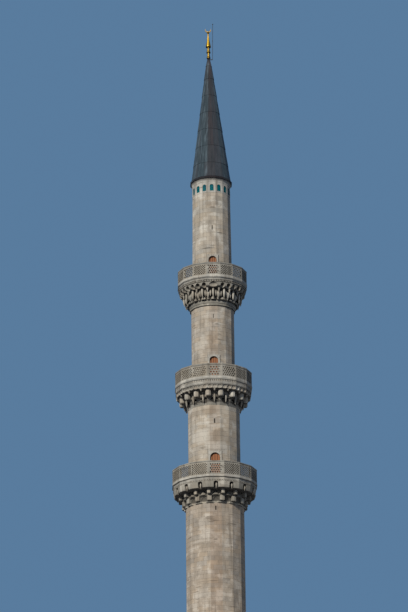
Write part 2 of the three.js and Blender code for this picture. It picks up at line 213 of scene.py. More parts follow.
addCamera(cameraFacts)
addLight(lightFacts)
addFloor(floorFacts)
print("camera, light and floor")


# Materials

class Surface(Graph):
    # The nodes of one material, with the numbers of its look.
    def __init__(self, name, look):
        self.material = bpy.data.materials.new(name)
        self.material.use_nodes = True
        super().__init__(self.material.node_tree)
        self.tree.nodes.clear()
        self.look = look
        self.place = self.node("ShaderNodeTexCoord", out="Object")

    def attributes(self, *names):
        return [self.node("ShaderNodeAttribute", {"attribute_name": name}, out="Fac") for name in names]

    def stretched(self, scale, shift):
        return self.node("ShaderNodeMapping", {}, {"Vector": self.place, "Location": shift, "Scale": scale})

    def noise(self, scale, detail, roughness=0.55, stretch=(1, 1, 1), shift=(0, 0, 0)):
        place = self.stretched(stretch, shift)
        sockets = {"Vector": place, "Scale": scale, "Detail": detail, "Roughness": roughness}
        return self.node("ShaderNodeTexNoise", {}, sockets)

    def noises(self):
        return [self.noise(*facts) for facts in self.look["noises"].values()]

    def cells(self, scale, feature="F1"):
        sockets = {"Vector": self.place, "Scale": scale}
        return self.node("ShaderNodeTexVoronoi", {"feature": feature}, sockets)

    def openness(self, reach):  # 1 in the open, and less where other faces lie within reach
        return self.node("ShaderNodeAmbientOcclusion", {"samples": 6}, {"Distance": reach}, "AO")

    def vectorMaths(self, operation, first, second=(0, 0, 0), out=0):
        return self.node("ShaderNodeVectorMath", {"operation": operation}, {0: first, 1: second}, out)

    def between(self, value, low, high):  # 0 at low, 1 at high, and a smooth rise from one to the other
        settings = {"interpolation_type": "SMOOTHSTEP"}
        return self.node("ShaderNodeMapRange", settings, {0: value, 1: low, 2: high})

    def colours(self, factor, first, second, mode="MIX"):
        settings = {"data_type": "RGBA", "blend_type": mode}
        return self.node("ShaderNodeMix", settings, {0: factor, 6: first, 7: second}, out=2)

    def layer(self, colour, value, facts, least=0.0):
        strength, low, high, tint = facts
        part = self.maths("MAXIMUM", self.between(value, low, high), least)
        return self.colours(part * strength, colour, tint)

    def closed(self, colour, rough, dents):
        least, spread = self.look["roughness"]
        strength, reach = self.look["bump"]
        bump = {"Strength": strength, "Distance": reach, "Height": dents}
        shader = self.node("ShaderNodeBsdfPrincipled", {}, {
            "Base Color": colour, "Roughness": rough * spread + least,
            "Normal": self.node("ShaderNodeBump", {}, bump), **self.look.get("fixed", {})})
        self.node("ShaderNodeOutputMaterial", {}, {"Surface": shader})
        return self.material


# In the looks below, a noise has its scale, detail, roughness, stretch and shift. A layer has its strength,
# two values between which it comes in, and its colour.
chalkColour = (0.60, 0.575, 0.51, 1)
streakColour = (0.21, 0.185, 0.15, 1)
sootAndShadeColour = (0.055, 0.05, 0.045, 1)
limestoneLook = {
    "cool": (0.41, 0.39, 0.345, 1),
    "warm": (0.455, 0.395, 0.31, 1),
    "noises": {
        "patches": (1.1, 4),
        "clouds": (3.4, 4, 0.55, (1, 1, 0.7), (7, 3, 5)),
        "smears": (1.2, 5, 0.6, (1, 1, 2), (2, 8, 1)),
        "grain": (34, 5, 0.7),
        "streaks": (1, 4, 0.6, (8, 8, 0.5)),
        "scars": (1, 2, 0.5, (1.5, 1.5, 11), (4, 1, 6)),
    },
    "contrasts": (0.13, 0.85, 0.95, 0.35),  # between stones, and of patches, clouds and grain
    "stains": (0.4, 0.5, 0.64, (0.30, 0.25, 0.19, 1)),
    "chalk": (0.9, 0.51, 0.63, chalkColour),
    "streaks": (0.65, 0.5, 0.72, streakColour),
    "scars": (0.75, 0.62, 0.68, streakColour),
    "grime": (0.3, 0.1, 0.0, 1),
    # crust in the hollows, and painted shade in recesses and under overhangs
    "sootAndShade": (0.8, 0.35, 0.8, sootAndShadeColour),
    "sootAndShadeReach": 0.22,
    "sootAndShadeBelow": 0.3,        # more of it on faces that look down
    "sootStreaks": 0.35,
    "cloudBlur": 2.4,        # how far clouds and scars push the edges of the marks
    "scarBlur": 1.6,
    "marks": (  # how strong, in which colour, how rough at the edge; across, up, half the width and height
        (0.55, "chalk", 1.0, (
            (-0.9, 21.7, 1.1, 0.07), (0.95, 22.3, 0.3, 0.1), (-1.0, 22.8, 0.2, 0.8),
            (-1.05, 29.8, 0.6, 0.6), (0.0, 29.05, 0.75, 0.28), (0.1, 30.55, 0.7, 0.15),
            (-0.8, 30.8, 0.7, 0.13), (0.2, 39.45, 0.9, 0.22), (-0.95, 37.2, 0.55, 0.5),
            (0.6, 38.78, 0.3, 0.05), (0.3, 47.8, 0.5, 0.16))),
        (0.6, "stains", 1.0, (
            # The second of these marks darkens the stone just under the left side of the second balcony's
            # corbel.
            (0.4, 29.75, 0.75, 0.5), (-0.7, 31.65, 0.9, 0.28), (0.3, 36.85, 0.9, 0.35),
            (-0.1, 37.5, 0.4, 0.4), (-0.03, 48.7, 0.4, 0.28))),
        (0.7, "sootAndShade", 0.4, (
            (0.25, 38.73, 0.18, 0.045), (0.04, 48.4, 0.28, 0.045), (0.6, 46.3, 0.25, 0.04),
            (-0.35, 45.0, 0.5, 0.04))),
    ),
    "pitScale": 48,
    "pitSize": 0.22,
    "roughness": (0.86, 0.12),  # the least, and how much a noise adds
    "bump": (0.5, 0.006),       # strength and reach
}
paleLook = {
    **limestoneLook,
    "cool": (0.44, 0.43, 0.39, 1),
    "warm": (0.48, 0.44, 0.365, 1),
    "contrasts": (0.13, 0.5, 0.95, 0.35),
    "grime": (0.1, 0.1, 0.08, 1),
    "sootAndShade": (0.85, 0.3, 0.75, sootAndShadeColour),
    "sootAndShadeReach": 0.1,
}
carvedLook = {
    **limestoneLook,
    "cool": (0.38, 0.365, 0.315, 1),
    "warm": (0.43, 0.38, 0.305, 1),
    "contrasts": (0.4, 0.85, 0.95, 0.35),
    "grime": (0.1, 0.1, 0.05, 1),
    "sootAndShade": (0.97, 0.2, 0.65, (0.022, 0.02, 0.018, 1)),
    "sootAndShadeReach": 0.14,
    "sootAndShadeBelow": 0.6,
}
mortarLook = {
    **limestoneLook,
    "cool": (0.39, 0.37, 0.32, 1),
    "warm": (0.41, 0.37, 0.305, 1),
    "chalk": (0.2, 0.51, 0.63, chalkColour),
}


markEdge = (1.3, 0.7)  # a mark fades in from beyond its half width and height to within them


def blemished(graph, blur, marks):  # 1 within the marks on the front, whose edges are soft and uneven
    total = 0.0
    for x, z, halfWidth, halfHeight in marks:
        scale = (1 / halfWidth / modelScale, 0.5 / modelScale, 1 / halfHeight / modelScale)
        place = graph.stretched(scale, (-x / halfWidth, 1.0, -z / halfHeight))
        away = graph.vectorMaths("LENGTH", place, out="Value")
        total = graph.maths("MAXIMUM", graph.between(away + blur, *markEdge), total)
    return total


def stoneMaterial(name, look):
    graph = Surface(name, look)
    tone, hue, shelter, grime, crust = graph.attributes("tone", "hue", "shelter", "grime", "crust")
    patches, clouds, smears, grain, streaks, scars = graph.noises()
    light = 1
    for value, contrast in zip((tone, patches, clouds, grain), look["contrasts"]):
        light = light + (value - 0.5) * contrast
    colour = graph.colours(hue, look["cool"], look["warm"])
    colour = graph.vectorMaths("MULTIPLY", colour, graph.vector(light, light, light))
    colour = graph.layer(colour, patches, look["stains"])
    colour = graph.layer(colour, smears * 0.6 + clouds * 0.4, look["chalk"])
    blur = (clouds - 0.5) * look["cloudBlur"] + (scars - 0.5) * look["scarBlur"]
    for strength, layer, rough, marks in look["marks"]:
        marked = blemished(graph, blur * rough, marks)
        colour = graph.colours(marked * strength, colour, look[layer][-1])
    colour = graph.layer(colour, streaks, look["streaks"])
    colour = graph.layer(colour, scars * 0.8 + clouds * 0.2, look["scars"])
    # grime, and painted shade on the front facet
    colour = graph.colours(grime, colour, look["grime"], "MULTIPLY")
    # painted shade where other faces lie near and on faces that look down, with the crust of sheltered stone
    hidden = 1 - graph.openness(look["sootAndShadeReach"])
    hidden = hidden + (streaks - 0.5) * look["sootStreaks"] + shelter * look["sootAndShadeBelow"]
    colour = graph.layer(colour, hidden, look["sootAndShade"], crust)
    pits = graph.between(graph.cells(look["pitScale"]), 0.0, look["pitSize"])
    return graph.closed(colour, grain, grain * 0.6 + clouds * 0.8 + pits * 0.35)


darkLead = (0.055, 0.080, 0.098, 1)
leadLook = {
    "noises": {"patches": (2.6, 4), "streaks": (1, 3, 0.5, (13, 13, 0.9)), "grain": (40, 4)},
    "light": (1, 0.25, 0.75, (0.095, 0.132, 0.158, 1)),
    "brown": (0.108, 0.094, 0.106, 1),
    "brownSheets": 0.3,      # how much browner the brownest sheets are
    "brownTip": 0.6,         # and the tip, over a height of the model
    "brownHeights": (29.4, 30.8),
    "brownSide": 0.45,       # and the side that faces one way
    "brownWay": (0.21, -0.98, 0.0),
    "bloom": 0.6,            # pale streaks, but fewer on the browner side
    "bloomColour": (0.17, 0.23, 0.27, 1),
    "washed": (0.5, 0.5, 0.36, darkLead),
    "grime": (0.034, 0.022, 0.022, 1),
    "roughness": (0.75, 0.2),
    "bump": (0.3, 0.012),
    "fixed": {
        "Metallic": 0.85, "Sheen Weight": 0.24, "Sheen Roughness": 0.45, "Sheen Tint": (0.5, 0.75, 1, 1)},
}


def leadMaterial(look):
    graph = Surface("sheet_lead", look)
    tone, hue, grime = graph.attributes("tone", "hue", "grime")
    patches, streaks, grain = graph.noises()
    colour = graph.layer(darkLead, tone * 0.3 + patches * 0.7, look["light"])
    at = graph.parts(graph.place)
    outwards = graph.vectorMaths("NORMALIZE", graph.vector(at.out("X"), at.out("Y")))
    facing = graph.vectorMaths("DOT_PRODUCT", outwards, look["brownWay"], "Value")
    side = graph.between(facing, 0.86, 0.96) * look["brownSide"]
    sheets = graph.between(hue, 0.6, 1.0) * look["brownSheets"]
    tip = graph.between(at.out("Z"), *look["brownHeights"]) * look["brownTip"]
    colour = graph.colours(sheets + side + tip, colour, look["brown"])
    bloom = graph.between(streaks, 0.5, 0.68) * (look["bloom"] - side)
    colour = graph.colours(bloom, colour, look["bloomColour"])
    colour = graph.layer(colour, streaks, look["washed"])
    # grime, and painted shade on the front facet and in the seams
    colour = graph.colours(grime, colour, look["grime"])
    return graph.closed(colour, patches, patches * 0.7 + grain * 0.15 + streaks * 0.3)


tileLook = {
    "noises": {"clouds": (9, 3)},
    "deep": (0.0, 0.055, 0.085, 1),
    "bright": (1, 0.3, 0.7, (0.0, 0.125, 0.145, 1)),
    "crazing": 60, "crackWidth": 0.06,
    "roughness": (0.5, 0.2), "bump": (0.15, 0.001), "fixed": {"Specular IOR Level": 0.1},
}


def tileMaterial(look):
    graph = Surface("turquoise_tile", look)
    clouds, = graph.noises()
    cracks = graph.between(graph.cells(look["crazing"], "DISTANCE_TO_EDGE"), 0.0, look["crackWidth"])
    return graph.closed(graph.layer(look["deep"], clouds, look["bright"]), clouds, cracks)


giltLook = {
    "noises": {"wear": (14, 5, 0.65)},
    "gold": (0.62, 0.39, 0.05, 1),
    "worn": (0.7, 0.52, 0.75, (0.21, 0.15, 0.045, 1)),
    "shade": (1, 0.0, 0.5, (0.05, 0.03, 0.01, 1)),
    "roughness": (0.3, 0.22), "bump": (0.2, 0.003), "fixed": {"Metallic": 1.0},
}


def giltMaterial(look):
    graph = Surface("gilding", look)
    grime, shelter = graph.attributes("grime", "shelter")
    wear, = graph.noises()
    colour = graph.layer(look["gold"], wear, look["worn"])
    colour = graph.colours(grime, colour, look["worn"][-1])
    # painted shade on the faces that look down
    return graph.closed(graph.layer(colour, shelter, look["shade"]), wear, wear)


timberLook = {
    "noises": {"grain": (1, 5, 0.6, (60, 60, 3.5)), "wear": (1, 3, 0.55, (8, 8, 1.5))},
    "light": (0.30, 0.115, 0.045, 1),
    "dark": (0.05, 0.018, 0.008, 1),
    "grey": (0.5, 0.55, 0.8, (0.27, 0.17, 0.11, 1)),
    "shadeReach": 0.08,
    "roughness": (0.6, 0.25), "bump": (0.4, 0.002),
}


def timberMaterial(look):
    graph = Surface("door_timber", look)
    tone, = graph.attributes("tone")
    grain, wear = graph.noises()
    light = grain * 0.5 + tone * 0.9 + graph.openness(look["shadeReach"]) * 0.5 - 0.5
    colour = graph.colours(light, look["dark"], look["light"])
    return graph.closed(graph.layer(colour, wear, look["grey"]), grain, grain)


ironLook = {
    "noises": {"rust": (18, 4)},
    "black": (0.045, 0.045, 0.04, 1),
    "rust": (1, 0.5, 0.7, (0.10, 0.055, 0.035, 1)),
    "roughness": (0.55, 0.3), "bump": (0.3, 0.002), "fixed": {"Metallic": 0.6},
}


def ironMaterial(look):
    graph = Surface("dark_iron", look)
    rust, = graph.noises()
    return graph.closed(graph.layer(look["black"], rust, look["rust"]), rust, rust)


limestone = stoneMaterial("limestone", limestoneLook)
paleLimestone = stoneMaterial("pale_limestone", paleLook)
carvedLimestone = stoneMaterial("carved_limestone", carvedLook)
mortar = stoneMaterial("mortar", mortarLook)
sheetLead = leadMaterial(leadLook)
turquoiseTile = tileMaterial(tileLook)
gilding = giltMaterial(giltLook)
doorTimber = timberMaterial(timberLook)
darkIron = ironMaterial(ironLook)
print("materials")


# Making meshes

past = 1.0  # how far a cutting shape reaches past what it cuts
wellRadius = 1.12  # round the stair, where a stone's hidden inner face may stand


def pieceOf(name, mesh):
    piece = bpy.data.objects.new(name, mesh)
    bpy.context.collection.objects.link(piece)
    return piece


def solidOf(name, mesh, outwards=True):
    if outwards:
        bmesh.ops.recalc_face_normals(mesh, faces=mesh.faces)
    data = bpy.data.meshes.new(name)
    mesh.to_mesh(data)
    mesh.free()
    return pieceOf(name, data)


def settle(piece):  # its modifiers become its mesh
    bpy.context.view_layer.update()
    shape = piece.evaluated_get(bpy.context.evaluated_depsgraph_get())
    mesh = bpy.data.meshes.new_from_object(shape)
    piece.modifiers.clear()
    piece.data = mesh
    return piece


def discard(*pieces):
    for piece in pieces:
        bpy.data.objects.remove(piece)


def combine(piece, tool, operation):
    modifier = piece.modifiers.new("cut", "BOOLEAN")
    modifier.solver = "MANIFOLD"
    modifier.operation = operation
    modifier.object = tool
    settle(piece)
    discard(tool)
    return piece


def softened(piece, width, segments):
    bevel = piece.modifiers.new("edges", "BEVEL")
    bevel.width = width
    bevel.segments = segments
    return settle(piece)


def joined(name, *pieces):  # one mesh of several, as they stand
    mesh = bmesh.new()
    for piece in pieces:
        mesh.from_mesh(piece.data)
    discard(*pieces)
    return solidOf(name, mesh, outwards=False)


def moved(piece, matrix):
    piece.data.transform(matrix)
    return piece


def bridge(mesh, first, second):  # faces between two rings of as many corners
    for step in range(len(first)):
        after = (step + 1) % len(first)
        corners = list(dict.fromkeys((first[step], second[step], second[after], first[after])))
        if len(corners) > 2:
            mesh.faces.new(corners)


def turned(name, outline, count=sides, turn=0.5):  # an outline of radii and heights, all the way round
    mesh = bmesh.new()
    rings = []
    for radius, height in outline:
        if radius == 0:
            rings.append([mesh.verts.new((0, 0, height))] * count)
        else:
            angles = [(step + turn) * 2 * math.pi / count for step in range(count)]
            rings.append([mesh.verts.new(pointAt(angle, radius, height)) for angle in angles])
    for low, high in zip(rings, rings[1:] + rings[:1]):
        bridge(mesh, low, high)
    return solidOf(name, mesh)


def ringOf(name, outline, inner):  # its outer outline goes from its foot up, round a well
    return turned(name, [*outline, (inner, outline[-1][1]), (inner, outline[0][1])])


def prism(name, outline, near, far):  # a shape seen from the front, solid between two distances from the axis
    mesh = bmesh.new()
    front = [mesh.verts.new((x, -far, z)) for x, z in outline]
    back = [mesh.verts.new((x, -near, z)) for x, z in outline]
    mesh.faces.new(front)
    mesh.faces.new(back[::-1])
    bridge(mesh, front, back)
    return solidOf(name, mesh)


def rectangle(width, bottom, top):
    half = width / 2
    return [(-half, bottom), (half, bottom), (half, top), (-half, top)]


def arc(radius, middle, angles):
    return [(radius * math.cos(angle), middle + radius * math.sin(angle)) for angle in angles]


def arch(width, bottom, top, steps=12):  # round-headed
    half = width / 2
    angles = [math.pi * step / steps for step in range(steps + 1)]
    return [(-half, bottom), (half, bottom), *arc(half, top - half, angles)]


def raised(points, foot, top):  # radii at parts of a height
    return [(radius, foot + part * (top - foot)) for radius, part in points]


# Geometry node trees

def geometryTree(name, inputs, build):
    tree = bpy.data.node_groups.new(name, "GeometryNodeTree")
    tree.interface.new_socket("Geometry", in_out="INPUT", socket_type="NodeSocketGeometry")
    for label, kind in {**inputs, "Material": "Material"}.items():
        tree.interface.new_socket(label, in_out="INPUT", socket_type="NodeSocket" + kind)
    tree.interface.new_socket("Geometry", in_out="OUTPUT", socket_type="NodeSocketGeometry")
    graph = Graph(tree)
    entry = graph.node("NodeGroupInput")
    whole = graph.node("GeometryNodeRealizeInstances", {}, {0: build(graph, entry.out)})
    sockets = {"Geometry": withTone(graph, whole), "Material": entry.out("Material")}
    graph.node("NodeGroupOutput", {}, {0: graph.node("GeometryNodeSetMaterial", {}, sockets)})
    return tree


def withTone(graph, geometry):  # each loose stone or sheet gets a tone and a hue of its own
    island = graph.node("GeometryNodeInputMeshIsland", out="Island Index")
    for seed, name in enumerate(("tone", "hue")):
        sockets = {"ID": island, "Seed": seed}
        value = graph.node("FunctionNodeRandomValue", {"data_type": "FLOAT"}, sockets, out=1)
        geometry = graph.node("GeometryNodeStoreNamedAttribute", {"data_type": "FLOAT", "domain": "FACE"}, {
            "Geometry": geometry, "Name": name, "Value": value})
    return geometry


def grown(name, tree, values, material, start=None):
    piece = start or pieceOf(name, bpy.data.meshes.new(name))
    modifier = piece.modifiers.new("grow", "NODES")
    modifier.node_group = tree
    values = {**values, "Material": material}
    for socket in tree.interface.items_tree:
        if socket.in_out == "INPUT" and socket.name in values:
            modifier[socket.identifier] = values[socket.name]
    return settle(piece)


def shapeOf(graph, source):
    settings = {"transform_space": "ORIGINAL"}
    return graph.node("GeometryNodeObjectInfo", settings, {"Object": source}, "Geometry")


def pointsOf(graph, count, start=(0, 0, 0), step=(0, 0, 0)):
    sockets = {"Count": count, "Start Location": start, "Offset": step}
    return graph.node("GeometryNodeMeshLine", {}, sockets)


def rowAndColumn(graph, columns):  # a little more than the quotient, so that rounding never loses a row
    index = graph.node("GeometryNodeInputIndex")
    row = graph.maths("FLOOR", index / columns + 0.001)
    return row, index - row * columns


def without(graph, geometry, cutter):
    settings = {"operation": "DIFFERENCE", "solver": "MANIFOLD"}
    return graph.node("GeometryNodeMeshBoolean", settings, {"Mesh 1": geometry, "Mesh 2": cutter})


def buildRing(graph, value):  # the first copies may be skipped; a turn of 1 moves them all by one place
    copies, skip = value("Copies"), value("Skip")
    angle = (graph.node("GeometryNodeInputIndex") + skip + value("Turn")) * (2 * math.pi) / copies
    return graph.node("GeometryNodeInstanceOnPoints", {}, {
        "Points": pointsOf(graph, copies - skip), "Instance": shapeOf(graph, value("Pattern")),
        "Rotation": graph.vector(z=angle)})


courseLabels = ("First course", "Second course", "Third course", "Fourth course")
waveFacts = {"scale": 1.6, "seedStep": 37.0}  # of the rise and fall of the beds between courses
holeDepth = 0.6  # right through any panel


def buildCourses(graph, value):
    copies = value("Copies")
    row, column = rowAndColumn(graph, copies)
    position = graph.vector(z=value("Bottom") + row * value("Course height"))
    points = graph.node("GeometryNodeSetPosition", {}, {
        "Geometry": pointsOf(graph, copies * value("Courses")), "Position": position})
    kinds = [graph.node("GeometryNodeGeometryToInstance", {}, {0: shapeOf(graph, value(label))})
             for label in courseLabels]
    width = 1 - row * value("Narrowing")
    stones = graph.node("GeometryNodeInstanceOnPoints", {}, {
        "Points": points, "Instance": graph.node("GeometryNodeJoinGeometry", {}, {0: kinds}),
        "Pick Instance": True, "Instance Index": row % len(courseLabels),
        "Rotation": graph.vector(z=column * (2 * math.pi) / copies),
        "Scale": graph.vector(width, width, 1.0)})
    stones = graph.node("GeometryNodeRealizeInstances", {}, {0: stones})
    height = graph.parts(graph.node("GeometryNodeInputPosition")).out("Z")
    along = height + value("Seed") * waveFacts["seedStep"]
    sockets = {"W": along, "Scale": waveFacts["scale"], "Detail": 0.0}
    wave = graph.node("ShaderNodeTexNoise", {"noise_dimensions": "1D"}, sockets)
    uneven = graph.vector(z=(wave - 0.5) * value("Unevenness"))
    stones = graph.node("GeometryNodeSetPosition", {}, {"Geometry": stones, "Offset": uneven})
    return without(graph, stones, shapeOf(graph, value("Openings")))


def buildPiercing(graph, value):
    row, column = rowAndColumn(graph, value("Columns"))
    shift = value("Stagger") * (row % 2 - 0.5)
    x = (column - (value("Columns") - 1) * 0.5 + shift) * value("Pitch")
    z = value("Middle") + (row - (value("Rows") - 1) * 0.5) * value("Row pitch")
    points = graph.node("GeometryNodeSetPosition", {}, {
        "Geometry": pointsOf(graph, value("Columns") * value("Rows")),
        "Position": graph.vector(x, value("Distance") * -1, z)})
    hole = graph.node("GeometryNodeMeshCylinder", {"fill_type": "NGON"}, {
        "Vertices": value("Corners"), "Side Segments": 1, "Radius": value("Hole radius"), "Depth": holeDepth})
    sockets = {"Geometry": hole, "Rotation": graph.vector(z=value("Hole turn"))}
    hole = graph.node("GeometryNodeTransform", {}, sockets)
    hole = graph.node("GeometryNodeTransform", {}, {
        "Geometry": hole, "Rotation": (math.pi / 2, 0, 0), "Scale": graph.vector(1.0, 1.0, value("Stretch"))})
    holes = graph.node("GeometryNodeInstanceOnPoints", {}, {"Points": points, "Instance": hole})
    return without(graph, value("Geometry"), graph.node("GeometryNodeRealizeInstances", {}, {0: holes}))


def buildRow(graph, value):
    return graph.node("GeometryNodeInstanceOnPoints", {}, {
        "Points": pointsOf(graph, value("Copies"), value("Start"), value("Step")),
        "Instance": shapeOf(graph, value("Pattern"))})


ringTree = geometryTree("copies_round_the_tower", {
    "Pattern": "Object", "Copies": "Int", "Skip": "Int", "Turn": "Float"}, buildRing)
courseTree = geometryTree("stone_courses", {
    **dict.fromkeys(courseLabels, "Object"), "Openings": "Object", "Copies": "Int", "Courses": "Int",
    "Course height": "Float", "Bottom": "Float", "Narrowing": "Float", "Unevenness": "Float", "Seed": "Float",
}, buildCourses)
piercingTree = geometryTree("pierced_slab", {
    "Columns": "Int", "Rows": "Int", "Pitch": "Float", "Row pitch": "Float", "Stagger": "Float",
    "Middle": "Float", "Distance": "Float", "Corners": "Int", "Hole radius": "Float", "Hole turn": "Float",
    "Stretch": "Float"}, buildPiercing)
rowTree = geometryTree("row_of_copies", {
    "Pattern": "Object", "Copies": "Int", "Start": "Vector", "Step": "Vector"}, buildRow)


def roundTower(name, pattern, material, copies=sides, turn=0.0, skip=0):
    values = {"Pattern": pattern, "Copies": copies, "Skip": skip, "Turn": turn}
    piece = grown(name, ringTree, values, material)
    discard(pattern)
    return piece


def inRow(name, pattern, material, copies, start, step):
    values = {"Pattern": pattern, "Copies": copies, "Start": start, "Step": step}
    piece = grown(name, rowTree, values, material)
    discard(pattern)
    return piece


def sideBySide(name, pattern, material, copies, pitch):
    return inRow(name, pattern, material, copies, ((1 - copies) / 2 * pitch, 0, 0), (pitch, 0, 0))


def stacked(name, kinds, material, values, openings=None):  # whole courses, of four kinds in turn
    openings = openings or pieceOf("openings", bpy.data.meshes.new("openings"))
    values = {**dict(zip(courseLabels, kinds)), "Openings": openings, **values}
    piece = grown(name, courseTree, values, material)
    discard(openings, *kinds)
    return piece


facesFront = -0.96  # the y of a normal is below this on the front facet only


def finished(piece, material, replaces=(), smoothBelow=20, grime=0.0, frontShade=0.0, crust=None):
    mesh = piece.data
    mesh.transform(Matrix.Scale(modelScale, 4))
    mesh.materials.clear()
    mesh.materials.append(material)
    count = len(mesh.polygons)
    mesh.polygons.foreach_set("material_index", [0] * count)
    shelter = [max(0.0, -face.normal.z) for face in mesh.polygons]  # how much a face looks down; stone gets crust and painted shade there, and gilding painted shade
    # grime, and painted shade on the front facet
    dirtAndShade = [grime + (frontShade if face.normal.y < facesFront else 0) for face in mesh.polygons]
    for name, values in (("shelter", shelter), ("grime", dirtAndShade), ("crust", crust or [0] * count)):
        mesh.attributes.new(name, "FLOAT", "FACE").data.foreach_set("value", values)
    mesh.shade_smooth()
    mesh.set_sharp_from_angle(angle=math.radians(smoothBelow))
    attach(piece, body)
    if replaces:
        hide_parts(*replaces)
    return piece


def dress(material, *nodes):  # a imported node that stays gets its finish
    for name in nodes:
        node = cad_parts[name]
        if not node.material_slots:
            node.data.materials.append(material)
        for place in node.material_slots:
            place.material = material


# Stone courses

courseFacts = {
    "height": 0.34,
    "gap": 0.005,
    "chamfer": 0.003,
    "proud": 0.01,
    "depth": 0.06,
    "unevenness": 0.09,
    "joints": ((0.27,), (0.74,), (0.36,), (0.66,)),  # where the joints of four courses fall along a facet
}


def onFacet(count, facet, along, away):  # a point beside the middle of a facet
    angle = facet * 2 * math.pi / count
    sine, cosine = math.sin(angle), math.cos(angle)
    return (away * sine + along * cosine, -away * cosine + along * sine)


def courseStones(name, count, radius, joints, height, facts):
    half = math.pi / count
    away = apothem(radius, count)
    length = 2 * radius * math.sin(half)
    layers = (
        (facts["proud"], facts["chamfer"]),
        (facts["proud"] - facts["chamfer"], 0),
        (-facts["depth"], 0),
    )
    mesh = bmesh.new()
    stations = [*joints, 1 + joints[0]]
    for start, end in zip(stations, stations[1:]):
        rims = []
        for out, inset in layers:
            trim = facts["gap"] / 2 + inset
            plan = [onFacet(count, 0, (start - 0.5) * length + trim, away + out)]
            if end > 1:  # this stone turns the corner
                corner = pointAt(half, (away + out) / math.cos(half), 0)
                plan.append((corner.x, corner.y))
                plan.append(onFacet(count, 1, (end - 1.5) * length - trim, away + out))
            else:
                plan.append(onFacet(count, 0, (end - 0.5) * length - trim, away + out))
            low = [mesh.verts.new((x, y, trim)) for x, y in plan]
            high = [mesh.verts.new((x, y, height - trim)) for x, y in plan]
            rims.append(low + high[::-1])
        size = len(rims[0])
        for step in range(size // 2 - 1):
            for rim in (rims[0], rims[-1]):
                mesh.faces.new((rim[step], rim[step + 1], rim[size - 2 - step], rim[size - 1 - step]))
        for outer, inner in zip(rims, rims[1:]):
            bridge(mesh, outer, inner)
    return solidOf(name, mesh)


def laidCourses(name, count, radius, joints, bottom, top, facts, seed, openings=None, topRadius=None):
    rows = max(1, round((top - bottom) / facts["height"]))
    height = (top - bottom) / rows
    kinds = [courseStones(label, count, radius, joints[step % len(joints)], height, facts)
             for step, label in enumerate(courseLabels)]
    values = {
        "Copies": count, "Courses": rows, "Course height": height, "Bottom": bottom,
        "Narrowing": (1 - topRadius / radius) / rows if topRadius else 0.0,
        "Unevenness": facts["unevenness"], "Seed": seed,
    }
    return stacked(name, kinds, limestone, values, openings)


shaftFacts = {
    "slits": ((23.98, 24.30), (30.76, 31.12), (39.22, 39.55), (46.51, 46.88)),
    "slitWidths": (0.08, 0.08, 0.05, 0.07),
    "cutFrom": 0.5,          # from the axis, well inside the stones
    "cutPast": 0.2,
    "cutBelow": 0.5,         # a doorway's sill, down behind the balcony
    "topRadius": 1.475,      # the last stage narrows a little
    "grime": (0.19, 0.03, 0.09, 0.0),
    # painted shade on the front facet of each stage, which leaves its sides lighter
    "frontShade": (0.19, 0.18, 0.15, 0.04),
}
frameFacts = {
    "side": 0.13, "head": 0.12, "proud": 0.024, "depth": 0.2, "room": 0.005,
    "joints": 5, "voussoirs": 7, "gap": 0.01, "blade": (0.2, 1.2),
}


def doorway(node):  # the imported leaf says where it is
    low, high = realBox(node)
    return {"bottom": low.z, "crown": high.z, "width": high.x - low.x, "front": -low.y}


def buildShaft(facts, frames):
    for index, slit in enumerate(facts["slits"]):
        stage = f"shaft_{index + 1}"
        radius = cornerRadius(stage + "_right")
        low, high = realBox(stage + "_right")
        near, far = facts["cutFrom"], radius + facts["cutPast"]
        openings = [prism("slit", rectangle(facts["slitWidths"][index], *slit), near, far)]
        if index:
            door = doorway(f"balcony_{index}_door")
            width = door["width"] + 2 * (frames["side"] + frames["room"])
            shape = rectangle(width, door["bottom"] - facts["cutBelow"], door["crown"] + frames["head"])
            openings.append(prism("doorway", shape, near, far))
        stones = laidCourses(
            stage + "_stones", sides, radius, courseFacts["joints"], low.z, high.z, courseFacts, index + 1,
            joined("openings", *openings), facts["topRadius"] if index == 3 else None)
        finished(stones, limestone, grime=facts["grime"][index], frontShade=facts["frontShade"][index])
        dress(mortar, stage + "_front", stage + "_left", stage + "_right")
    print("shaft")


def doorFrame(name, door, away, facts):
    outer = door["width"] + 2 * facts["side"]
    bottom, crown = door["bottom"], door["crown"]
    stone = rectangle(outer, bottom, crown + facts["head"])
    frameStone = prism(name, stone, away - facts["depth"], away + facts["proud"])
    way = prism("way", arch(door["width"], bottom - past, crown), 0, away + past)
    combine(frameStone, way, "DIFFERENCE")
    spring = crown - door["width"] / 2
    cuts = []
    for step in range(1, facts["joints"]):
        level = bottom + (spring - bottom) * step / facts["joints"]
        cuts.append(prism("joint", rectangle(outer + past, level, level + facts["gap"]), away, away + past))
    for step in range(1, facts["voussoirs"]):
        angle = math.pi * step / facts["voussoirs"]
        blade = prism("joint", rectangle(facts["gap"], *facts["blade"]), away, away + past)
        turn = Matrix.Translation((0, 0, spring)) @ Matrix.Rotation(math.pi / 2 - angle, 4, "Y")
        cuts.append(moved(blade, turn))
    for cut in cuts:
        combine(frameStone, cut, "DIFFERENCE")
    finished(frameStone, paleLimestone)


def buildDoorFrames(facts):
    for index in (1, 2, 3):
        away = apothem(cornerRadius(f"shaft_{index + 1}_right"))
        doorFrame(f"balcony_{index}_door_frame", doorway(f"balcony_{index}_door"), away, facts)


doorFacts = {"boards": 4, "gap": 0.03, "chamfer": 0.008, "thickness": 0.07, "groove": 0.02}


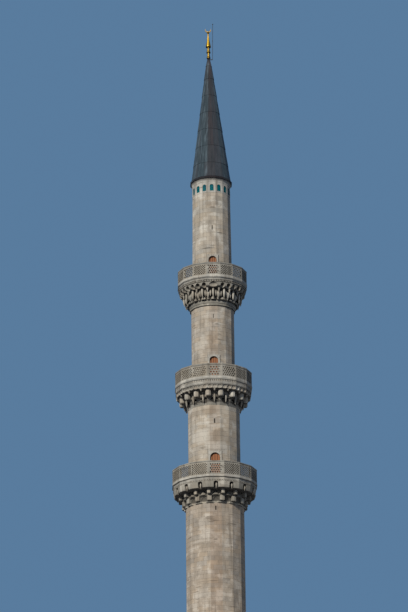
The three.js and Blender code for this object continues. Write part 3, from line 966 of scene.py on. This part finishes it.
def boardedLeaf(node, facts):
    door = doorway(node)
    bottom, crown, width, front = door["bottom"], door["crown"], door["width"], door["front"]
    board = width / facts["boards"]
    back = front - facts["thickness"]
    plank = prism("plank", rectangle(board - facts["gap"], bottom, crown), back, front)
    plank = softened(plank, facts["chamfer"], 1)
    leaf = sideBySide(node + "_leaf", plank, doorTimber, facts["boards"], board)
    combine(leaf, prism("shape", arch(width, bottom, crown), 0, front + past), "INTERSECT")
    backing = prism("backing", arch(width, bottom, crown), back, front - facts["groove"])
    finished(joined(node + "_leaf", leaf, backing), doorTimber, (node,))


def buildDoors(facts):
    for index in (1, 2, 3):
        boardedLeaf(f"balcony_{index}_door", facts)
    print("doors")


buildShaft(shaftFacts, frameFacts)
buildDoorFrames(frameFacts)
buildDoors(doorFacts)


# Balconies

# The corbel's outline has radii and heights above its foot. A hollow has an arched head, whose height is
# a part of its width, and some widen over a foot. A panel's grid has columns and rows.
balconyFacts = [
    {
        "corbel": (
            (2.30, 0), (2.33, 0.08), (2.33, 0.43), (2.44, 0.50), (2.45, 0.56), (2.45, 0.90), (2.98, 0.94),
            (3.05, 0.98), (3.08, 1.1), (3.11, 1.25), (3.13, 1.43), (3.12, 1.45), (3.12, 1.52),
        ),
        "hollows": (
            {"width": 0.34, "depth": 0.3, "away": 3.12, "bottom": 0.8, "top": 1.42, "head": 0.3},
            {"width": 0.7, "depth": 0.12, "away": 2.47, "bottom": 0.57, "top": 1.0, "head": 0.5},
            {"width": 0.42, "depth": 0.12, "away": 2.34, "bottom": -0.2, "top": 0.44, "head": 0.9},
        ),
        "drops": (  # style, place along a facet, how far away, reach, width, bottom and top
            ("corner", 0.5, 2.74, 0.45, 0.23, 0.58, 1.0),
            ("lotus", 0, 2.44, 0.1, 0.46, 0.52, 0.84),
            ("corner", 0.5, 2.49, 0.3, 0.35, 0.12, 0.51),
            ("lens", 0.03, 2.98, 0.09, 0.14, 0.92, 1.28),
        ),
        "grime": 0.15,
        "crust": 0.8,
        "dirtAndShade": (  # up to a height: the least crust and painted shade, and the most on the stones that lie behind others
            (0.06, 0, 0), (0.505, 0.3, 1), (0.575, 0.75, 1), (0.85, 0, 0.55), (0.93, 0.3, 1), (9, 0, 1)),
        "slab": ((0.07, 0), (0.10, 0.1), (0.08, 0.66), (0.11, 0.7), (0.11, 0.8), (0.0, 0.84), (0.0, 1)),
        "topRail": 0.14,
        "dentils": {"copies": 10, "width": 0.06, "bottom": -0.09, "top": 0.01, "reach": 3.15},
        "panels": (
            {"grid": (5, 5), "pitch": (0.168, 0.145), "corners": 6, "hole": 0.075, "slab": 0.17},
            {"grid": (7, 9), "pitch": (0.172, 0.086), "corners": 4, "hole": 0.064},
            {"grid": (7, 9), "pitch": (0.172, 0.086), "corners": 4, "hole": 0.067, "slab": 0.07},
        ),
    },
    {
        "corbel": (
            (1.985, 0), (2.03, 0.12), (2.08, 0.22), (2.13, 0.32), (2.16, 0.48), (2.27, 0.56), (2.30, 0.98),
            (2.78, 1.06), (2.86, 1.1), (2.87, 1.2), (2.89, 1.3), (2.85, 1.32), (2.85, 1.37),
        ),
        "hollows": (
            {"width": 0.35, "depth": 0.07, "away": 2.88, "bottom": 0.9, "top": 1.33, "head": 0.5,
             "offsets": (-0.37, 0, 0.37)},
            {"width": 0.7, "depth": 0.12, "away": 2.32, "bottom": 0.58, "top": 1.0, "head": 0.5},
            {"width": 0.7, "depth": 0.3, "away": 2.32, "bottom": 0.4, "top": 0.56, "head": 0.2},
            {"width": 0.66, "depth": 0.2, "away": 2.14, "bottom": 0.1, "top": 0.55, "head": 0.3, "foot": 0.3},
        ),
        "drops": (
            ("knob", 0.5, 2.4, 0.24, 0.43, 0.56, 1.09),
            ("lens", 0, 2.70, 0.09, 0.17, 0.9, 1.14),
            ("lens", 0, 2.26, 0.11, 0.17, 0.15, 0.8),
        ),
        "grime": 0.0,
        "crust": 0.8,
        "dirtAndShade": ((0.26, 0, 0), (0.62, 0.3, 1), (1.04, 0.1, 0.1), (9, 0, 1)),
        "slab": (
            (0.06, 0), (0.07, 0.1), (0.05, 0.12), (0.055, 0.42), (0.085, 0.46), (0.085, 0.68), (0.04, 0.72),
            (0.0, 0.78), (0.0, 1)),
        "topRail": 0.2,
        "dentils": {"copies": 8, "width": 0.085, "bottom": 0.21, "top": 0.345, "reach": 2.915},
        "panels": (
            {"grid": (4, 4), "pitch": (0.21, 0.19), "corners": 8, "hole": 0.07},
            {"grid": (6, 5), "pitch": (0.165, 0.143), "corners": 6, "hole": 0.066},
            {"grid": (6, 7), "pitch": (0.165, 0.1), "corners": 4, "hole": 0.06, "stretch": 1.3, "slab": 0.09},
        ),
    },
    {
        "corbel": (
            (1.70, 0), (1.745, 0.03), (1.76, 0.1), (1.75, 0.15), (1.78, 0.19), (1.82, 0.3), (1.82, 0.36),
            (1.80, 0.38), (1.80, 0.55), (1.86, 0.64), (1.90, 0.8), (2.06, 0.96), (2.12, 1.2), (2.46, 1.29),
            (2.54, 1.37), (2.57, 1.62), (2.60, 1.64), (2.57, 1.66), (2.57, 1.76), (2.64, 1.77), (2.64, 1.79),
        ),
        "hollows": (
            {"width": 0.36, "depth": 0.28, "away": 2.58, "bottom": 1.14, "top": 1.6, "head": 0.6,
             "offsets": (-0.255, 0.255), "skip": 1},
            {"width": 0.64, "depth": 0.16, "away": 2.58, "bottom": 1.2, "top": 1.63, "head": 0.3,
             "copies": 1},
            {"width": 0.34, "depth": 0.12, "away": 2.1, "bottom": 0.8, "top": 1.24, "head": 0.6,
             "offsets": (-0.2, 0.2)},
            {"width": 0.62, "depth": 0.1, "away": 1.9, "bottom": 0.38, "top": 0.84, "head": 0.5},
        ),
        "drops": (
            ("lens", 0.5, 2.24, 0.14, 0.22, 0.92, 1.62),
            ("lens", 0, 2.2, 0.12, 0.19, 0.5, 1.36),
            ("lens", 0.5, 2.02, 0.15, 0.34, 0.5, 1.1),
            ("lens", 0.25, 2.06, 0.08, 0.16, 0.62, 1.16),
            ("lens", 0.75, 2.06, 0.08, 0.16, 0.62, 1.16),
            ("prism", 0.5, 1.88, 0.13, 0.2, 0.36, 0.72),
            ("lotus", 0, 1.92, 0.12, 0.42, 0.41, 0.76),
        ),
        "grime": 0.1,
        "crust": 0.3,
        "dirtAndShade": ((0.37, 0, 0), (1.64, 0.05, 1), (9, 0, 1)),
        "slab": ((0.06, 0), (0.05, 0.12), (0.09, 0.22), (0.09, 0.4), (0.05, 0.6), (0.0, 0.72), (0.0, 1)),
        "topRail": 0.17,
        "dentils": {"copies": 8, "width": 0.065, "bottom": -0.13, "top": -0.03, "reach": 2.62},
        "panels": (
            {"grid": (5, 5), "pitch": (0.16, 0.139), "corners": 6, "hole": 0.068, "slab": 0.17},
            {"grid": (5, 8), "pitch": (0.18, 0.09), "corners": 4, "hole": 0.068},
            {"grid": (5, 5), "pitch": (0.17, 0.147), "corners": 6, "hole": 0.075, "slab": 0.08},
        ),
    },
]

# A hanging stone's number of sides, its turn, and its widths from the foot up at parts of its height.
dropStyles = {
    "lens": (8, 0, ((0.05, 0), (0.42, 0.16), (0.82, 0.38), (1, 0.58), (0.86, 0.78), (0.5, 1))),
    "lotus": (8, 0, ((0.3, 0), (0.9, 0.08), (1, 0.2), (0.75, 0.45), (0.3, 0.75), (0.05, 1))),
    "knob": (8, 0.5, ((0.78, 0), (0.96, 0.12), (1, 0.24), (1, 1))),
    "prism": (6, 0, ((0.1, 0), (0.8, 0.16), (1, 0.22), (1, 0.8), (0.7, 1))),
}
hollowFoot = ((0, 0), (0.45, 0.2), (0.8, 0.5), (1, 1))  # widths at parts of the foot's height
hollowHead = {"steps": 6, "curve": 0.6}
cornerBevel = 0.04


def hollowCutter(facts):  # upright, round in plan and arched at its head
    rise = facts["width"] * facts["head"]
    outline = raised(hollowFoot, facts["bottom"], facts["bottom"] + facts.get("foot", 0))
    for step in range(hollowHead["steps"] + 1):
        part = step / hollowHead["steps"]
        outline.append(((1 - part ** 2) ** hollowHead["curve"], facts["top"] - rise * (1 - part)))
    shape = turned("hollow", outline, 16)
    stretch = Matrix.Diagonal((facts["width"] / 2, facts["depth"], 1, 1))
    copies = []
    for offset in facts.get("offsets", (0,)):
        place = Matrix.Translation((offset, -apothem(facts["away"]), 0))
        copies.append(moved(pieceOf("hollow", shape.data.copy()), place @ stretch))
    discard(shape)
    return joined("hollows", *copies)


def cornerStone(name, outer, inner, wing, levels):  # it turns a corner, and may stand back at a level
    turn = Matrix.Rotation(-halfFacet, 3, "Z")
    mesh = bmesh.new()
    rings = []
    for height, back in levels:
        plan = []
        for radius, sign in ((outer - back, 1), (inner, -1)):
            reach = radius * math.sin(halfFacet) - wing + back
            left = onFacet(sides, 0, reach, apothem(radius))
            corner = pointAt(halfFacet, radius, 0)
            right = onFacet(sides, 1, -reach, apothem(radius))
            plan.extend([left, (corner.x, corner.y), right][::sign])
        rings.append([mesh.verts.new(turn @ Vector((x, y, height))) for x, y in plan])
    mesh.faces.new(rings[0])
    mesh.faces.new(rings[-1][::-1])
    for low, high in zip(rings, rings[1:]):
        bridge(mesh, low, high)
    return solidOf(name, mesh)


def hangingStone(style, place, away, reach, width, bottom, top):
    if style == "corner":
        levels = ((bottom, cornerBevel), (bottom + cornerBevel, 0), (top, 0))
        return cornerStone("drop", away, away - reach, width / 2, levels)
    count, turn, widths = dropStyles[style]
    stone = turned("drop", [(0, bottom), *raised(widths, bottom, top), (0, top)], count, turn)
    away = away if place else apothem(away)
    stretch = Matrix.Diagonal((width / 2, reach, 1, 1))
    return moved(stone, Matrix.Translation((0, -away, 0)) @ stretch)


shadeFacts = {"overlap": 0.02, "from": 0.03, "over": 0.14}  # how far behind the outermost stones the crust and painted shade come in


def hiddenFaces(corbel, facts, shade):  # 0 on the outermost stones, up to 1 on what lies well behind them
    reach = [(bottom, top, away) for style, turn, away, out, width, bottom, top in facts["drops"]]
    for (radius, start), (nextRadius, end) in zip(facts["corbel"], facts["corbel"][1:]):
        reach.append((start - shade["overlap"], end + shade["overlap"], max(radius, nextRadius)))
    hidden = []
    for face in corbel.data.polygons:
        x, y, z = face.center
        angle = (math.atan2(x, -y) / (2 * halfFacet) + 0.5) % 1 - 0.5
        away = math.hypot(x, y) * math.cos(angle * 2 * halfFacet) / math.cos(halfFacet)
        outermost = max([radius for low, high, radius in reach if low <= z <= high], default=away)
        behind = min(1.0, max(0.0, (outermost - away - shade["from"]) / shade["over"]))
        least, most = next((least, most) for top, least, most in facts["dirtAndShade"] if z < top)
        hidden.append(min(max(behind, least), most))
    return hidden


def buildCorbel(index, facts):
    name = f"balcony_{index}_corbel"
    foot = realBox(name)[0].z
    corbel = ringOf(name + "_carving", facts["corbel"], wellRadius)
    for hollow in facts["hollows"]:
        copies, skip = hollow.get("copies", sides), hollow.get("skip", 0)
        cutter = roundTower("hollows", hollowCutter(hollow), carvedLimestone, copies, skip=skip)
        combine(corbel, cutter, "DIFFERENCE")
    for drop in facts["drops"]:
        stones = roundTower("drops", hangingStone(*drop), carvedLimestone, turn=drop[1])
        combine(corbel, stones, "UNION")
    # crust and painted shade on the stones that lie behind the outermost ones
    crust = [facts["crust"] * hidden for hidden in hiddenFaces(corbel, facts, shadeFacts)]
    moved(corbel, Matrix.Translation((0, 0, foot)))
    finished(corbel, carvedLimestone, (name,), grime=facts["grime"], crust=crust)


slabFacts = {
    "joint": 0.012, "jointDepth": 0.03, "jointFrom": 0.5, "jointRim": 0.1, "toothDepth": 0.06, "grime": 0.25,
}


def buildSlab(index, facts, slab):
    node = f"balcony_{index}_slab"
    low, high = realBox(node)
    rim = cornerRadius(node)
    edge = raised([(rim - inside, part) for inside, part in facts["slab"]], low.z, high.z)
    piece = turned(node + "_moulded", [(0, low.z), *edge, (0, high.z)])
    shape = rectangle(slab["joint"], high.z - slab["jointDepth"], high.z + past)
    joint = prism("joint", shape, slab["jointFrom"], rim - slab["jointRim"])
    joints = roundTower("joints", joint, paleLimestone, turn=0.5)
    combine(piece, joints, "DIFFERENCE")
    dentils = facts["dentils"]
    pitch = 2 * dentils["reach"] * math.sin(halfFacet) / dentils["copies"]
    away = apothem(dentils["reach"])
    shape = rectangle(dentils["width"], low.z + dentils["bottom"], low.z + dentils["top"])
    tooth = prism("tooth", shape, away - slab["toothDepth"], away)
    teeth = sideBySide("teeth", tooth, paleLimestone, dentils["copies"], pitch)
    teeth = roundTower("teeth", teeth, paleLimestone)
    finished(joined(node + "_moulded", piece, teeth), paleLimestone, (node,), grime=slab["grime"])


parapetFacts = {
    "thickness": 0.2, "slab": 0.13, "bottomRail": 0.13, "post": 0.05, "postInset": 0.012, "setBack": 0.015,
    "slope": (0.02, 0.03),   # on the bottom rail: how far in, over how much of its height
    "chamfer": 0.03,         # above and below the top rail's full width, at parts of its height
    "fullWidth": (0.3, 0.45, 0.85),
    "overlap": 0.01,         # of panels and posts with the rails
    "panelMore": 0.06,       # so that a panel's ends lie inside the posts
    "hexagonTurn": 0.5236,   # radians; a six-cornered hole stands on a corner
    "places": (  # the front panel, and two kinds in turn: copies, how many are skipped, and turn
        (1, 0, 0.0), (8, 0, 0.5), (8, 1, 0.0)),
    "grime": 0.42,
}


def piercedPanel(width, bottom, top, away, pattern, facts):
    slab = pattern.get("slab", facts["slab"])
    columns, rows = pattern["grid"]
    pitch, rowPitch = pattern["pitch"]
    values = {
        "Columns": columns, "Rows": rows, "Pitch": pitch, "Row pitch": rowPitch, "Stagger": 0.5,
        "Middle": (bottom + top) / 2, "Distance": away - slab / 2, "Corners": pattern["corners"],
        "Hole radius": pattern["hole"], "Hole turn": facts["hexagonTurn"] if pattern["corners"] == 6 else 0.0,
        "Stretch": pattern.get("stretch", 1.0),
    }
    panel = prism("panel", rectangle(width, bottom, top), away - slab, away)
    return grown("panel", piercingTree, values, paleLimestone, start=panel)


def buildParapet(index, facts, parapet):
    name = f"balcony_{index}_parapet"
    low, high = realBox(name + "_front")
    outer = cornerRadius(name + "_front")
    inner = outer - parapet["thickness"]
    bottom = low.z + parapet["bottomRail"]
    roll = facts["topRail"]
    top = high.z - roll
    inwards, drop = parapet["slope"]
    bottomRail = ringOf(name + "_rail", (
        (outer, low.z), (outer, bottom - drop), (outer - inwards, bottom)), inner)
    narrow = outer - parapet["chamfer"]
    start, full, end = (top + roll * part for part in parapet["fullWidth"])
    topRail = ringOf("rail", (
        (narrow, top), (narrow, start), (outer, full), (outer, end), (narrow, high.z)), inner)
    foot, head = bottom - parapet["overlap"], top + parapet["overlap"]
    post = cornerStone("post", outer - parapet["postInset"], inner + parapet["postInset"],
                       parapet["post"] / 2, ((foot, 0), (head, 0)))
    posts = roundTower("posts", post, paleLimestone, turn=0.5)
    away = apothem(outer) - parapet["setBack"]
    facet = 2 * (outer - parapet["thickness"] / 2) * math.sin(halfFacet)
    width = facet - parapet["post"] + parapet["panelMore"]
    panels = []
    for (copies, skip, turn), pattern in zip(parapet["places"], facts["panels"]):
        panel = piercedPanel(width, foot, head, away, pattern, parapet)
        panels.append(roundTower("panels", panel, paleLimestone, copies, turn, skip))
    finished(bottomRail, paleLimestone, (name + "_front", name + "_back"))
    finished(joined(name + "_lattice", topRail, posts, *panels), paleLimestone, grime=parapet["grime"])


for index, facts in enumerate(balconyFacts, 1):
    buildCorbel(index, facts)
    buildSlab(index, facts, slabFacts)
    buildParapet(index, facts, parapetFacts)
    print("balcony", index)


# Frieze, spire and finial

friezeFacts = {
    "tileWidth": 0.31, "bottom": 49.78, "top": 50.34, "tileDepth": 0.06, "recess": 0.012, "room": 0.01,
    "frame": 0.03, "frameProud": 0.01, "frameDepth": 0.03, "overlap": 0.004,
    "beyond": 0.1,           # how far a recess is cut past the band
    "radius": 1.49,
    "mouldings": (  # how far beyond the band, and how far below the eave
        (0.0, 0.38), (0.012, 0.37), (0.012, 0.34), (0.02, 0.26), (0.04, 0.19), (0.075, 0.14), (0.08, 0.12),
        (0.10, 0.11), (0.10, 0.08), (0.04, 0.07), (0.04, 0.0),
    ),
    "crust": ((0.15, 0.75), (0.2, 0.5), (0.28, 0.25)),  # painted shade under the eave: how dark the stone is, to a depth below it
}


def buildFrieze(facts):
    low, high = realBox("tile_frieze")
    radius = facts["radius"]
    away = apothem(radius)
    seat = away - facts["recess"]
    width, bottom, top = facts["tileWidth"], facts["bottom"], facts["top"]
    tileShape = arch(width, bottom, top)
    outline = [(radius, low.z)] + [(radius + out, high.z - below) for out, below in facts["mouldings"]]
    stone = ringOf("frieze_mouldings", outline, wellRadius)
    recess = prism("recess", tileShape, seat - facts["room"], away + facts["beyond"])
    combine(stone, roundTower("recesses", recess, paleLimestone), "DIFFERENCE")
    # painted shade on the stone just under the eave
    crust = []
    for face in stone.data.polygons:
        below = high.z - face.center.z
        crust.append(next((amount for depth, amount in facts["crust"] if below < depth), 0.0))
    finished(stone, paleLimestone, ("tile_frieze",), crust=crust)
    tile = prism("tile", tileShape, away - facts["tileDepth"], seat)
    finished(roundTower("frieze_tiles", tile, turquoiseTile), turquoiseTile)
    rim = facts["frame"]
    band = prism("band", arch(width + 2 * rim, bottom - rim, top + rim),
                 away - facts["frameDepth"], away + facts["frameProud"])
    combine(band, prism("way", arch(width - facts["overlap"], bottom, top), 0, away + past), "DIFFERENCE")
    finished(roundTower("frieze_frames", band, paleLimestone), paleLimestone)


spireFacts = {
    "eaveRadius": 1.65, "eaveTop": 0.07, "lip": 0.07, "lipWidth": 0.03, "curb": 0.06,
    "radius": 1.565, "tip": 61.63, "tipRadius": 0.19, "wall": 0.15,
    "collarRadius": 0.12, "capFoot": 61.1, "capRadius": 0.135, "capShoulder": (0.035, 0.12), "capWell": 0.1,
    "lean": 0.007,           # to the left for each metre up, with the finial
    "firstSeam": 1.23, "sheetLength": 1.53, "lap": 0.02, "sheet": 0.006, "seam": 0.012,
    "halved": 5,             # rows of two sheets on a facet, below rows of one
    "over": 0.05,            # how far a sheet goes up behind the next one
    "press": 0.6,            # how much of its thickness it stands out there
    "sunk": 0.01,            # how far its back lies inside the core
    "grime": 0.75,           # darker on the rim, and painted shade in the seams
    # painted shade on the spire's front facet
    "frontShade": 0.35,
}


def leaning(piece):
    shear = Matrix.Identity(4)
    shear[0][2] = -spireFacts["lean"]
    shear[0][3] = spireFacts["lean"] * realBox("tile_frieze")[1].z
    return moved(piece, shear)


def buildSpire(facts):
    low, high = realBox("spire")
    bottom = low.z
    base = bottom + facts["eaveTop"] + facts["curb"]
    slope = (facts["radius"] - facts["tipRadius"]) / (facts["tip"] - base)
    inset = facts["lap"] + facts["sheet"]

    def radiusAt(level):  # of the sheets' feet
        return facts["radius"] - slope * (level - base)

    hollow = facts["radius"] - facts["wall"]
    eave, lip = facts["eaveRadius"], bottom - facts["lip"]
    inside = eave - facts["lipWidth"]
    collar, capFoot, tip = facts["collarRadius"], facts["capFoot"], facts["tip"]
    core = turned("spire_core", [
        (0, bottom + hollow / slope), (hollow, bottom), (inside, bottom), (inside, lip), (eave, lip),
        (eave, bottom + facts["eaveTop"]), (facts["radius"] - inset, base),
        (radiusAt(capFoot) - inset, capFoot), (collar, tip), (collar, high.z), (0, high.z)])
    rim = radiusAt(capFoot) - facts["sheet"]
    inwards, up = facts["capShoulder"]
    cap = ringOf("spire_cap", (
        (rim, capFoot), (rim - inwards, capFoot + up), (facts["capRadius"], tip)), facts["capWell"])
    mesh = bmesh.new()

    def corner(level, part, out):  # on a facet: part goes from -1 at its left arris to 1 at its right one
        away = apothem(radiusAt(level)) - inset + out
        return mesh.verts.new((part * away * math.tan(halfFacet), -away, level))

    seams = [base]
    while seams[-1] < capFoot:
        seams.append(base + facts["firstSeam"] + (len(seams) - 1) * facts["sheetLength"])
    for row, (foot, seam) in enumerate(zip(seams, seams[1:])):
        head = min(capFoot, seam) + facts["over"]
        gap = facts["seam"] / 2 / apothem(radiusAt(foot)) / math.tan(halfFacet)
        for left, right in ((-1, 0), (0, 1)) if row < facts["halved"] else ((-1, 1),):
            ends = [(foot, left + gap), (foot, right - gap), (head, right - gap), (head, left + gap)]
            front = [corner(level, part, inset if level == foot else facts["sheet"] * facts["press"])
                     for level, part in ends]
            back = [corner(level, part, -facts["sunk"]) for level, part in ends]
            mesh.faces.new(front)
            mesh.faces.new(back[::-1])
            bridge(mesh, front, back)
    sheets = roundTower("spire_sheets", solidOf("sheets", mesh), sheetLead)
    finished(leaning(core), sheetLead, ("spire",), grime=facts["grime"])
    finished(leaning(sheets), sheetLead, frontShade=facts["frontShade"])
    finished(leaning(cap), sheetLead)


def smoothOutline(points, steps=5):  # a soft curve through the corners of an outline
    result = [points[0]]
    for before, start, end, after in zip(
            [points[0], *points[:-2]], points[:-1], points[1:], [*points[2:], points[-1]]):
        for step in range(1, steps + 1):
            t = step / steps
            result.append(tuple(0.5 * (
                2 * q + (r - p) * t + (2 * p - 5 * q + 4 * r - s) * t * t + (3 * q - p - 3 * r + s) * t ** 3)
                for p, q, r, s in zip(before, start, end, after)))
    return result


finialFacts = {
    "roundSides": 48,
    "knops": (  # the radii of the foot, the widest part and the waist
        ("finial_lower_knop", 0.10, 0.158, 0.08), ("finial_upper_knop", 0.09, 0.168, 0.084)),
    "bulb": (  # parts of a knop's widest radius, at parts of its height
        (0.96, 0.04), (1, 0.1), (0.92, 0.2), (0.76, 0.38), (0.66, 0.62)),
    "waist": ((1.05, 0.85), (1, 1)),  # and of its waist's
    "knopGrime": 0.55,
    "pearFoot": 0.095,
    "pear": (
        (0.195, 0.02), (0.208, 0.06), (0.195, 0.13), (0.158, 0.28), (0.115, 0.48), (0.078, 0.7),
        (0.054, 0.88), (0.045, 1)),
    "neck": 63.88,
    "cup": ((0.06, 0.12), (0.112, 0.025)),  # radii, and how far below its rim
    "crescentRadius": 0.24, "crescentInner": 0.212, "innerRise": 0.06, "tipRise": 0.13, "thickness": 0.04,
    "seat": 0.015, "crescentSteps": 28, "edge": 0.006, "crescentGrime": 0.45,
    "smoothBelow": 50,       # degrees
}


def buildKnops(facts):
    for node, foot, widest, waist in facts["knops"]:
        low, high = realBox(node)
        outline = [(widest * part, level) for part, level in facts["bulb"]]
        outline += [(waist * part, level) for part, level in facts["waist"]]
        curve = smoothOutline(raised(outline, low.z, high.z))
        shape = [(0, low.z), (foot, low.z), *curve, (0, high.z)]
        knop = turned(node + "_gilt", shape, facts["roundSides"])
        finished(leaning(knop), gilding, (node,), facts["smoothBelow"], facts["knopGrime"])


def buildPear(facts):
    low, high = realBox("finial_pear")
    neck = facts["neck"]
    curve = smoothOutline(raised(facts["pear"], low.z, neck))
    cup = smoothOutline([curve[-1], *((radius, high.z - below) for radius, below in facts["cup"])])
    rim = cup[-1][0]
    outline = [(0, low.z), (facts["pearFoot"], low.z), *curve, *cup[1:], (rim, high.z), (0, high.z)]
    pear = turned("finial_pear_gilt", outline, facts["roundSides"])
    finished(leaning(pear), gilding, ("finial_pear",), facts["smoothBelow"])


def buildCrescent(facts):
    radius, inner = facts["crescentRadius"], facts["crescentInner"]
    tip = math.asin(facts["tipRise"] / radius)
    innerTip = math.asin((facts["tipRise"] - facts["innerRise"]) / inner)
    middle = realBox("finial_crescent")[0].z + radius - facts["seat"]
    steps = facts["crescentSteps"]
    outer = [math.pi - tip + (math.pi + 2 * tip) * step / steps for step in range(steps + 1)]
    back = [2 * math.pi + innerTip - (math.pi + 2 * innerTip) * step / steps for step in range(1, steps)]
    shape = arc(radius, middle, outer) + arc(inner, middle + facts["innerRise"], back)
    half = facts["thickness"] / 2
    crescent = softened(prism("finial_crescent_gilt", shape, -half, half), facts["edge"], 2)
    finished(leaning(crescent), gilding, ("finial_crescent",), grime=facts["crescentGrime"])


buildFrieze(friezeFacts)
buildSpire(spireFacts)
buildKnops(finialFacts)
buildPear(finialFacts)
buildCrescent(finialFacts)
dress(darkIron, "lightning_rod")
print("spire and finial")


# Base

baseFacts = {
    "stone": {**courseFacts, "height": 0.42, "gap": 0.011, "depth": 0.1, "unevenness": 0.12},
    "joints": (
        (0.08, 0.22, 0.37, 0.50, 0.64, 0.78, 0.92), (0.02, 0.15, 0.29, 0.44, 0.57, 0.71, 0.86),
        (0.10, 0.24, 0.35, 0.49, 0.66, 0.80, 0.94), (0.04, 0.17, 0.31, 0.42, 0.58, 0.73, 0.88),
    ),
    "doorWidth": 0.9, "springing": 1.65, "seed": 9,
    "frame": {**frameFacts, "side": 0.24, "head": 0.26, "proud": 0.03},
    "door": {**doorFacts, "boards": 6, "thickness": 0.09},
    "plinthSteps": ((3.4, 0.0, 0.3), (3.15, 0.3, 0.6)),  # half the width, bottom and top
    "plinthStoneDepth": 0.4, "plinthCore": 0.012, "plinthSeed": 20,
    "transitionRadius": 2.33, "transitionCourses": 10, "transitionStones": 24, "transitionWell": 1,
    "shifts": (0.0, 0.5, 0.2, 0.7),  # of the upright joints in four courses, as parts of a stone
    "bladeNear": 0.9, "bladeFar": 5,
}


def squareRadius(halfWidth):
    return halfWidth * math.sqrt(2)


def buildPlinth(facts):
    stone = {**facts["stone"], "proud": 0.0, "depth": facts["plinthStoneDepth"], "unevenness": 0.0}
    inset = facts["plinthCore"]
    core = [(0, 0)]
    for step, (half, bottom, top) in enumerate(facts["plinthSteps"]):
        inner = squareRadius(half - inset)
        core += [(inner, max(0, bottom - inset)), (inner, top - inset)]
        stones = laidCourses(
            f"plinth_stones_{step + 1}", 4, squareRadius(half), facts["joints"][step:step + 1], bottom, top,
            stone, facts["plinthSeed"] + step)
        finished(stones, limestone)
    finished(turned("plinth_core", [*core, (0, core[-1][1])], 4), mortar, ("plinth",))


def cutIntoStones(piece, bottom, top, facts):  # open joints, level and upright
    courses, columns, gap = facts["transitionCourses"], facts["transitionStones"], facts["stone"]["gap"]
    far = facts["bladeFar"]
    height = (top - bottom) / courses
    kinds = []
    for label, shift in zip(courseLabels, facts["shifts"]):
        blade = prism(label, rectangle(gap, 0, height), facts["bladeNear"], far)
        kinds.append(moved(blade, Matrix.Rotation(shift * 2 * math.pi / columns, 4, "Z")))
    values = {"Copies": columns, "Courses": courses, "Course height": height, "Bottom": bottom}
    combine(piece, stacked("blades", kinds, mortar, values), "DIFFERENCE")
    bed = prism("bed", rectangle(2 * far, bottom - gap / 2, bottom + gap / 2), -far, far)
    beds = inRow("beds", bed, mortar, courses - 1, (0, 0, height), (0, 0, height))
    return combine(piece, beds, "DIFFERENCE")


def buildTransition(facts):
    low, high = realBox("transition")
    proud = facts["stone"]["proud"]
    mesh = bmesh.new()
    for step in range(4):
        mesh.verts.new(pointAt((step + 0.5) * math.pi / 2, squareRadius(high.x + proud), low.z))
    for step in range(sides):
        mesh.verts.new(pointAt((2 * step + 1) * halfFacet, facts["transitionRadius"] + proud, high.z))
    bmesh.ops.convex_hull(mesh, input=mesh.verts)
    hull = solidOf("transition_stones", mesh, outwards=False)
    well, foot, head = facts["transitionWell"], low.z - past, high.z + past
    combine(hull, turned("well", [(0, foot), (well, foot), (well, head), (0, head)]), "DIFFERENCE")
    cutIntoStones(hull, low.z, high.z, facts)
    finished(roundTower("transition_stones", hull, limestone, 1), limestone)
    dress(mortar, "transition")


def buildBase(facts):
    low, high = realBox("base_wall_back")
    half = high.x
    crown = low.z + facts["springing"] + facts["doorWidth"] / 2
    way = prism("way", arch(facts["doorWidth"], low.z - past, crown), 1, half + past)
    walls = laidCourses("base_wall_stones", 4, squareRadius(half), facts["joints"], low.z, high.z,
                        facts["stone"], facts["seed"], way)
    finished(walls, limestone)
    doorFrame("base_door_frame", {**doorway("base_door"), "bottom": low.z}, half, facts["frame"])
    dress(mortar, "base_wall_front_left", "base_wall_front_right", "base_wall_front_head", "base_wall_back",
          "base_wall_left", "base_wall_right")
    dress(paleLimestone, "base_cornice", "shaft_foot_ring")
    buildPlinth(facts)
    buildTransition(facts)
    boardedLeaf("base_door", facts["door"])
    print("base")


buildBase(baseFacts)
